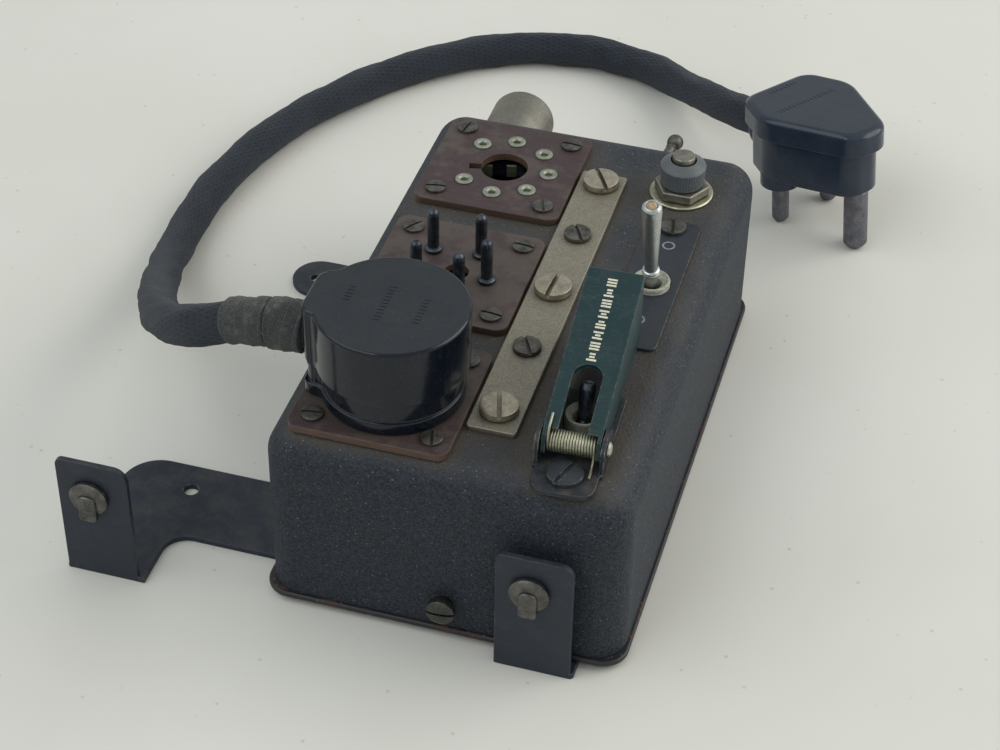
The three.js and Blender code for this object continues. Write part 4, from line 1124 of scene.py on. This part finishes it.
def make_main_toggle():
    make_switch("main_switch", "main_toggle_throw", Matrix(), 4.8, 53.6, 4.1, 12.6, 26, "pale_bush")
    profile = soften([
        (0, -2.4), (1.7, -1.7), (2.4, 0), (1.8, 1.6), (1.7, 6.6), (2.2, 6.85), (2.25, 7.2), (1.95, 7.4),
        (2.25, 7.6), (2.2, 8.0), (1.65, 8.3), (1.75, 12), (2.4, 26), (2.55, 28.6), (2.45, 30.3),
        (1.9, 31.0), (1.5, 31.1), (1.4, 30.7), (0, 30.6),
    ], 0.3)
    place = Matrix.Translation(pivot("main_toggle_throw")) @ Matrix.Rotation(math.radians(MAIN_TILT), 4, "X")
    piece("main_lever_turned", moved(lathe(profile, 40), place), "aluminium", "main_toggle")
    insert = lathe(soften([(0, 30.0), (1.35, 30.0), (1.35, 31.0), (0.8, 31.25), (0, 31.3)], 0.2), 28)
    piece("main_lever_insert", moved(insert, place), "lamp_mark", "main_toggle", adds=True)


def make_label():
    mid, lo, hi = spot("toggle_label_plate")
    switch, _, _ = spot("main_switch")
    plate = slab(rectangle(lo.x, hi.x, lo.y, hi.y, 2, 6), lo.z, hi.z, 0.1, 0.2)
    solid = cut(plate, rod(5.1, lo.z - 1, hi.z + 1, switch.x, switch.y))
    piece("label_plate", solid, "label_paint", "toggle_label_plate")
    ring = lathe([(1.25, 0), (1.7, 0), (1.7, 0.05), (1.25, 0.05), (1.25, 0)], 40)
    bar = block(-0.25, 0.25, -1.7, 1.7, 0, 0.05, 0.1)
    marks = together(*(shifted(mark, mid.x + x, switch.y + y, hi.z)
                       for mark, x, y in ((ring, 0.6, 16.8), (ring, 0.3, -15), (bar, -2.6, 16.6))))
    piece("label_marks", marks, "grey_mark", "toggle_label_plate", adds=True)


make_guarded_toggle()
make_main_toggle()
make_label()


# ---- the button
def make_button():
    mid, _, _ = spot("button_washer")
    deck = spot("case_housing")[2].z
    here = {"x": mid.x, "y": mid.y, "z": deck}
    _, lo, _ = spot("button_switch")
    foot = lo.z - deck
    barrel = lathe([(3.4, foot), (7, foot), (7, -2.1), (5, -2.1), (5, 9.2), (4.8, 9.4), (3.4, 9.4),
                    (3.4, foot)])
    piece("button_barrel", shifted(barrel, **here), "collar_grey", "button_switch")
    washer = lathe([(5.3, 0.1), (8.2, 0.1), (8.4, 0.25), (8.4, 0.65), (8.1, 0.9), (5.4, 0.9), (5.3, 0.8),
                    (5.3, 0.1)], 64)
    piece("button_washer_turned", shifted(washer, **here), "brass", "button_washer")
    across = 12.8 / math.sqrt(3)
    hexagon = rounded(circle(across, sides=6), 0.5, 4)
    nut = cut(slab(hexagon, 1.0, 3.6, 0.3, 0.45), rod(5.3, 0, 5))
    piece("button_nut_cut", shifted(nut, **here), "nut_nickel", "button_nut", bevel=0.1)
    collar = lathe([
        (5.3, 3.9), (5.55, 3.9), (5.65, 4.1), (5.7, 4.4), (6.0, 8.6), (6.05, 9.0), (5.85, 9.4), (5.2, 9.85),
        (4.2, 10.35), (3.8, 10.7), (3.5, 10.8), (3.4, 10.6), (3.4, 9.55), (5.3, 9.5), (5.3, 3.9),
    ], 240, (52, 0.2, 4.3, 8.6))
    piece("button_collar_ribbed", shifted(collar, **here), "collar_grey", "button_collar")
    plunger = lathe(soften([(0, -8), (3, -8), (3, 11.2), (2.95, 11.9), (2.7, 12.2), (0, 12.15)], 0.15), 48)
    piece("button_plunger_turned", shifted(plunger, **here), "nut_nickel", "button_plunger")


make_button()


# ---- rear controls
def make_rear_controls():
    wall = spot("case_housing")[2].y
    mid, _, _ = spot("rear_switch")
    place = placed(mid.x, wall, mid.z, UP_REAR)
    bush = lathe([(1.8, -9), (3, -9), (3, 1), (2.8, 1.2), (3, 1.4), (2.8, 1.6), (3, 1.8), (3, 4.2),
                  (2.8, 4.5), (2.65, 4.5), (1.8, 0.3), (1.8, -9)], 40)
    body = block(-5, 5, -5, 5, -16, -6.1, 0.8, 0.4)
    piece("rear_bush", moved(together(bush, body), place), "nickel", "rear_switch")
    ball = [(0, -1.4), (1.35, -0.6), (1.35, 0.6), (1, 2), (1, 5), (1.3, 6.5), (1.3, 9), (1.55, 9.4),
            (1.3, 9.9)]
    ball += [(2.3 * math.sin(a), 12 - 2.3 * math.cos(a)) for a in np.linspace(0.62, math.pi, 12)]
    lean = Matrix.Rotation(math.radians(14), 4, "Y") @ Matrix.Rotation(math.radians(11), 4, "X")
    lever = moved(lathe([*ball[:-1], (0, 14.3)], 32), place @ lean)
    piece("rear_lever_turned", lever, "dark_steel", "rear_ball_lever")
    mid, _, end = spot("rear_knob")
    place = placed(mid.x, wall, mid.z, UP_REAR)
    piece("knob_bush", moved(lathe(soften([(0, -8), (3.5, -8), (3.5, 5), (0, 5)], 0.3), 40), place),
          "satin_steel", "rear_knob_bush")
    length, r = end.y - wall, (end.x - mid.x)
    ridges = []
    for k in range(9):
        z = 1.4 + 0.75 * k
        ridges += [(r, z), (r - 0.12, z + 0.3), (r, z + 0.6)]
    profile = [(0, 5.3), (3.8, 5.3), (3.8, 0.3), (r - 0.3, 0.3), (r, 0.6), *ridges, (r, length - 1.4),
               (r - 0.35, length - 0.45), (r - 1.1, length), (0, length)]
    piece("knob", moved(lathe(profile, 72), place), "satin_steel", "rear_knob")


make_rear_controls()

# ---- round plug
PLUG_SPLIT = 62.8
PLUG_BLOCK_HALF = 8.3
FILLET = 3.2
LID_MARK_ROWS = ((-11.5, -1.5, 5), (-2.5, -6.5, 11), (6.5, -5, 8))     # x, first y and count, from the centre


def plug_outline(radius, half, reach, drawn_in, corner=3.2):
    """A disc with a block to the left, joined by concave fillets; anticlockwise, about the disc's centre."""
    r, h, f = radius - drawn_in, half - drawn_in, FILLET + drawn_in
    cx = -math.sqrt((r + f) ** 2 - (h + f) ** 2)
    turn = math.degrees(math.atan2(h + f, cx))
    end = -reach + drawn_in
    upper = np.array([
        *arc(f, turn - 180, -90, 8, cx, h + f)[1:],
        *arc(corner, 90, 180, 6, end + corner, h - corner),
    ])
    return np.concatenate([arc(r, -turn, turn, 90), upper, upper[::-1] * (1, -1)])


def make_round_plug():
    _, lo, hi = spot("round_plug_lid")
    _, body_lo, _ = spot("round_plug_body")
    radius = (hi.y - lo.y) / 2
    cx, cy = hi.x - radius, (hi.y + lo.y) / 2
    reach = cx - lo.x
    socket, _, socket_top = spot("panel_c_socket")
    foot = socket_top.z + 0.4

    def shell(disc, levels):
        outlines = [plug_outline(disc, PLUG_BLOCK_HALF, reach, inward) for inward, _ in levels]
        return loft([at_height(outline, z) for outline, (_, z) in zip(outlines, levels)])

    def curve(edge, z, steps=6):
        return [(wall, z - flat) for wall, flat in quarter(edge, steps)]

    body = shell(17.2, [(0.35, foot), (0.1, foot + 0.15), (0, foot + 0.5), *curve(0.5, foot + 3.2),
                        (0.62, foot + 3.3), (0.68, foot + 3.6), (0.68, PLUG_SPLIT - 0.3), (0.9, PLUG_SPLIT)])
    spigot = rod(KEY_HOLE_R - 0.3, body_lo.z, foot + 0.5, socket.x - cx, socket.y - cy)
    pins = [rod(0.6, body_lo.z, foot + 0.5, x, y, 16)
            for x, y in ring_places(socket.x - cx, socket.y - cy, CONTACT_RING, CONTACT_ANGLES)]
    body = shifted(together(body, spigot, *pins), cx, cy)
    lid = shell(radius, [(0.5, PLUG_SPLIT + 0.1), (0.3, PLUG_SPLIT + 0.15), (0.22, PLUG_SPLIT + 0.5),
                         *curve(0.9, hi.z, 8)])
    rows = [block(x, x + 1.5, y, y + 0.42, hi.z - 0.2, hi.z + 0.12, 0, 0.08)
            for x, y0, count in LID_MARK_ROWS for y in np.arange(count) * 1.25 + y0]
    lid = together(lid, *rows)
    return [
        piece("plug_body", body, "bakelite", "round_plug_body", sharp=50),
        piece("plug_lid", shifted(lid, cx, cy), "bakelite_matt", "round_plug_lid", sharp=50),
    ]


# ---- three-pin plug
PLUG3_AT = (50.5, 126.8)
PLUG3_HEADING = -38
BASE_H, COVER_H = 13.5, 7.5
LINE_PIN_R, LINE_PIN_L, EARTH_PIN_R, EARTH_PIN_L = 2.54, 15.9, 3.53, 19.0
PIN_SPACING, EARTH_OUT = 19.05, 22.2
BOSS_R, BOSS_H = 6.0, 3.4
PLUG3_CORNERS = ((-14, -12.5, 6), (0.5, -18, 11), (28.5, -6.3, 7.5))    # x, y and radius, on the right
PLUG3_CORNERS += tuple((x, -y, radius) for x, y, radius in PLUG3_CORNERS[::-1])
PLUG3_MARK_ROWS = ((-10.5, -5, 8), (0.5, -11, 16))                      # x, first y and count
PLUG3_PINS = (      # x, y, radius and length
    (0, -PIN_SPACING / 2, LINE_PIN_R, LINE_PIN_L), (0, PIN_SPACING / 2, LINE_PIN_R, LINE_PIN_L),
    (EARTH_OUT, 0, EARTH_PIN_R, EARTH_PIN_L),
)


def plug3_outline(drawn_in):
    """A triangle with its corners cut off and rounded, shrunk about its middle."""
    share = 1 - drawn_in / 15
    points = [(5 + (x - 5) * share, y * share) for x, y, _ in PLUG3_CORNERS]
    return rounded(points, [r * share for _, _, r in PLUG3_CORNERS], 8)


def make_three_pin_plug():
    lean = math.atan2(EARTH_PIN_L - LINE_PIN_L, EARTH_OUT)
    turned = Matrix.Rotation(math.radians(PLUG3_HEADING), 4, "Z") @ Matrix.Rotation(-lean, 4, "Y")

    def levels(z0, z1, low, high, drawn_in):
        rings = [(wall, z0 + flat) for flat, wall in quarter(low, 3)]
        rings += [(wall, z1 - flat) for wall, flat in quarter(high, 6)]
        return loft([at_height(plug3_outline(drawn_in + inward), z) for inward, z in rings])

    body = levels(0, BASE_H, 0.5, 0.4, 1.6)
    bosses = [moved(lathe(soften([(0, -1), (BOSS_R, -1), (BOSS_R, BOSS_H), (0, BOSS_H)], 0.5), 48),
                    placed(0, y, 0, Matrix.Rotation(math.pi, 4, "X")))
              for y in (-PIN_SPACING / 2, PIN_SPACING / 2)]
    gland = moved(lathe(soften([(0, 0), (6.4, 0), (7, 1), (7, 9), (0, 9)], 0.6), 40),
                  placed(-18, 0, 6.5, UP_X))
    gland = cut(gland, block(-30, 0, -12, 12, BASE_H, BASE_H + 12), block(-30, 0, -12, 12, -12, 0))
    pins = []
    for x, y, r, length in PLUG3_PINS:
        profile = [(0, -length), (r * 0.62, -length), (r, -length + r * 0.45), (r, 0.2), (0, 0.2)]
        profile = soften(profile, 0.9)
        pins.append(shifted(lathe(profile, 36), x, y))
    low = moved(together(*pins), turned)[0][:, 2].min()
    rise = spot("three_pin_plug_base")[1].z - low
    place = placed(*PLUG3_AT, rise, turned)
    top = BASE_H + COVER_H
    cover = levels(BASE_H + 0.3, top, 0.35, 2.0, 0)
    ticks = [block(x, x + 1.5, y, y + 0.5, top - 0.2, top + 0.12, 0, 0.06)
             for x, y0, count in PLUG3_MARK_ROWS for y in np.arange(count) * 1.35 + y0]
    made = [
        piece("three_pin_base", moved(fuse(body, gland, *bosses), place), "bakelite_worn",
              "three_pin_plug_base", sharp=50),
        piece("three_pin_cover", moved(together(cover, *ticks), place), "bakelite_worn",
              "three_pin_plug_cover", sharp=50),
        piece("three_pin_pins", moved(together(*pins), place), "pin_steel", "three_pin_plug_base",
              adds=True),
    ]
    return made


round_plug = make_round_plug()
three_pin_plug = make_three_pin_plug()

# ---- mounting bracket
STRAP_T, STUD_HEIGHT, STUD_R = 1.6, 26, 4.9
LEFT_ARM_Y, REAR_ARM_Y = (-62, -37), (40.6, 56.2)
REAR_ARM_R, REAR_ARM_END = 7.8, (-74.8, 48.4)
FRONT_STRAP_X, FRONT_TAB_RIGHT = (14.9, 34.6), 33.7


def make_bracket():
    _, lo, hi = spot("mounting_bracket")
    left_arm = np.concatenate([
        [(lo.x, lo.y), (-74.8, lo.y)], arc(6, 180, 90, 10, -68.8, -68), [(-30, y) for y in LEFT_ARM_Y],
        arc(10, 90, 180, 12, lo.x + 10, -47),
    ])
    rear_arm = np.concatenate([[(-30, y) for y in REAR_ARM_Y], arc(REAR_ARM_R, 90, 270, 20, *REAR_ARM_END)])
    flats = [
        slab(left_arm, 0, STRAP_T, 0.2, 0.3),
        slab(rear_arm, 0, STRAP_T, 0.2, 0.3),
        slab(rectangle(-38, 12, LEFT_ARM_Y[0], REAR_ARM_Y[1], 1), 0, STRAP_T, 0.2, 0.3),
        slab(rectangle(-20, FRONT_STRAP_X[1], *LEFT_ARM_Y, 1), 0, STRAP_T, 0.2, 0.3),
        slab(rectangle(*FRONT_STRAP_X, lo.y, -40, 1), 0, STRAP_T, 0.2, 0.3),
    ]
    tabs = []
    for x0, x1, corner in ((lo.x, -76.5, 3.6), (FRONT_STRAP_X[0], FRONT_TAB_RIGHT, 3.2)):
        outline = rounded([(x0, 0), (x1, 0), (x1, hi.z), (x0, hi.z)], [0.4, 0.4, corner, 1.8], 8)
        tabs.append(moved(slab(outline, 0, STRAP_T, 0.3, 0.3), placed(0, lo.y + STRAP_T, 0, UP_FRONT)))
    holes = [rod(2.0, -5, 5, -76, -45.9), rod(1.6, -5, 5, -75.7, 47.8)]
    for node in ("stud_left", "stud_right"):
        mid, _, _ = spot(node)
        holes.append(moved(rod(2.5, -8, 8), placed(mid.x, lo.y, STUD_HEIGHT, UP_FRONT)))
    solid = cut(fuse(flats[0], *flats[1:], *tabs), *holes)
    piece("bracket", solid, "black_paint", "mounting_bracket", sharp=32)


def make_stud(side):
    mid, _, _ = spot(f"stud_{side}")
    face = spot("mounting_bracket")[1].y
    place = placed(mid.x, face, STUD_HEIGHT, UP_FRONT)
    disc = lathe(soften([(0, -3.6), (3.5, -3.6), (3.5, -2.1), (2.2, -2.1), (2.2, 0.1), (4.75, 0.1),
                         (STUD_R, 0.3), (STUD_R, 1.2), (STUD_R - 0.5, 1.6), (1.2, 1.9), (0, 1.9)], 0.12), 48)
    tongue = rounded([(-2.3, -6.2), (2.3, -6.2), (2.3, 1.6), (-2.3, 1.6)], [1.2, 1.2, 1.8, 1.8], 6)
    solid = fuse(disc, slab(tongue, 0.15, 2.6, 0.15, 0.5))
    # The studs' look is tarnished nickel, darkened further as painted shade.
    piece(f"stud_{side}_turned", moved(solid, place), "old_nickel_painted_shade", f"stud_{side}", bevel=0.08)


make_bracket()
make_stud("left")
make_stud("right")
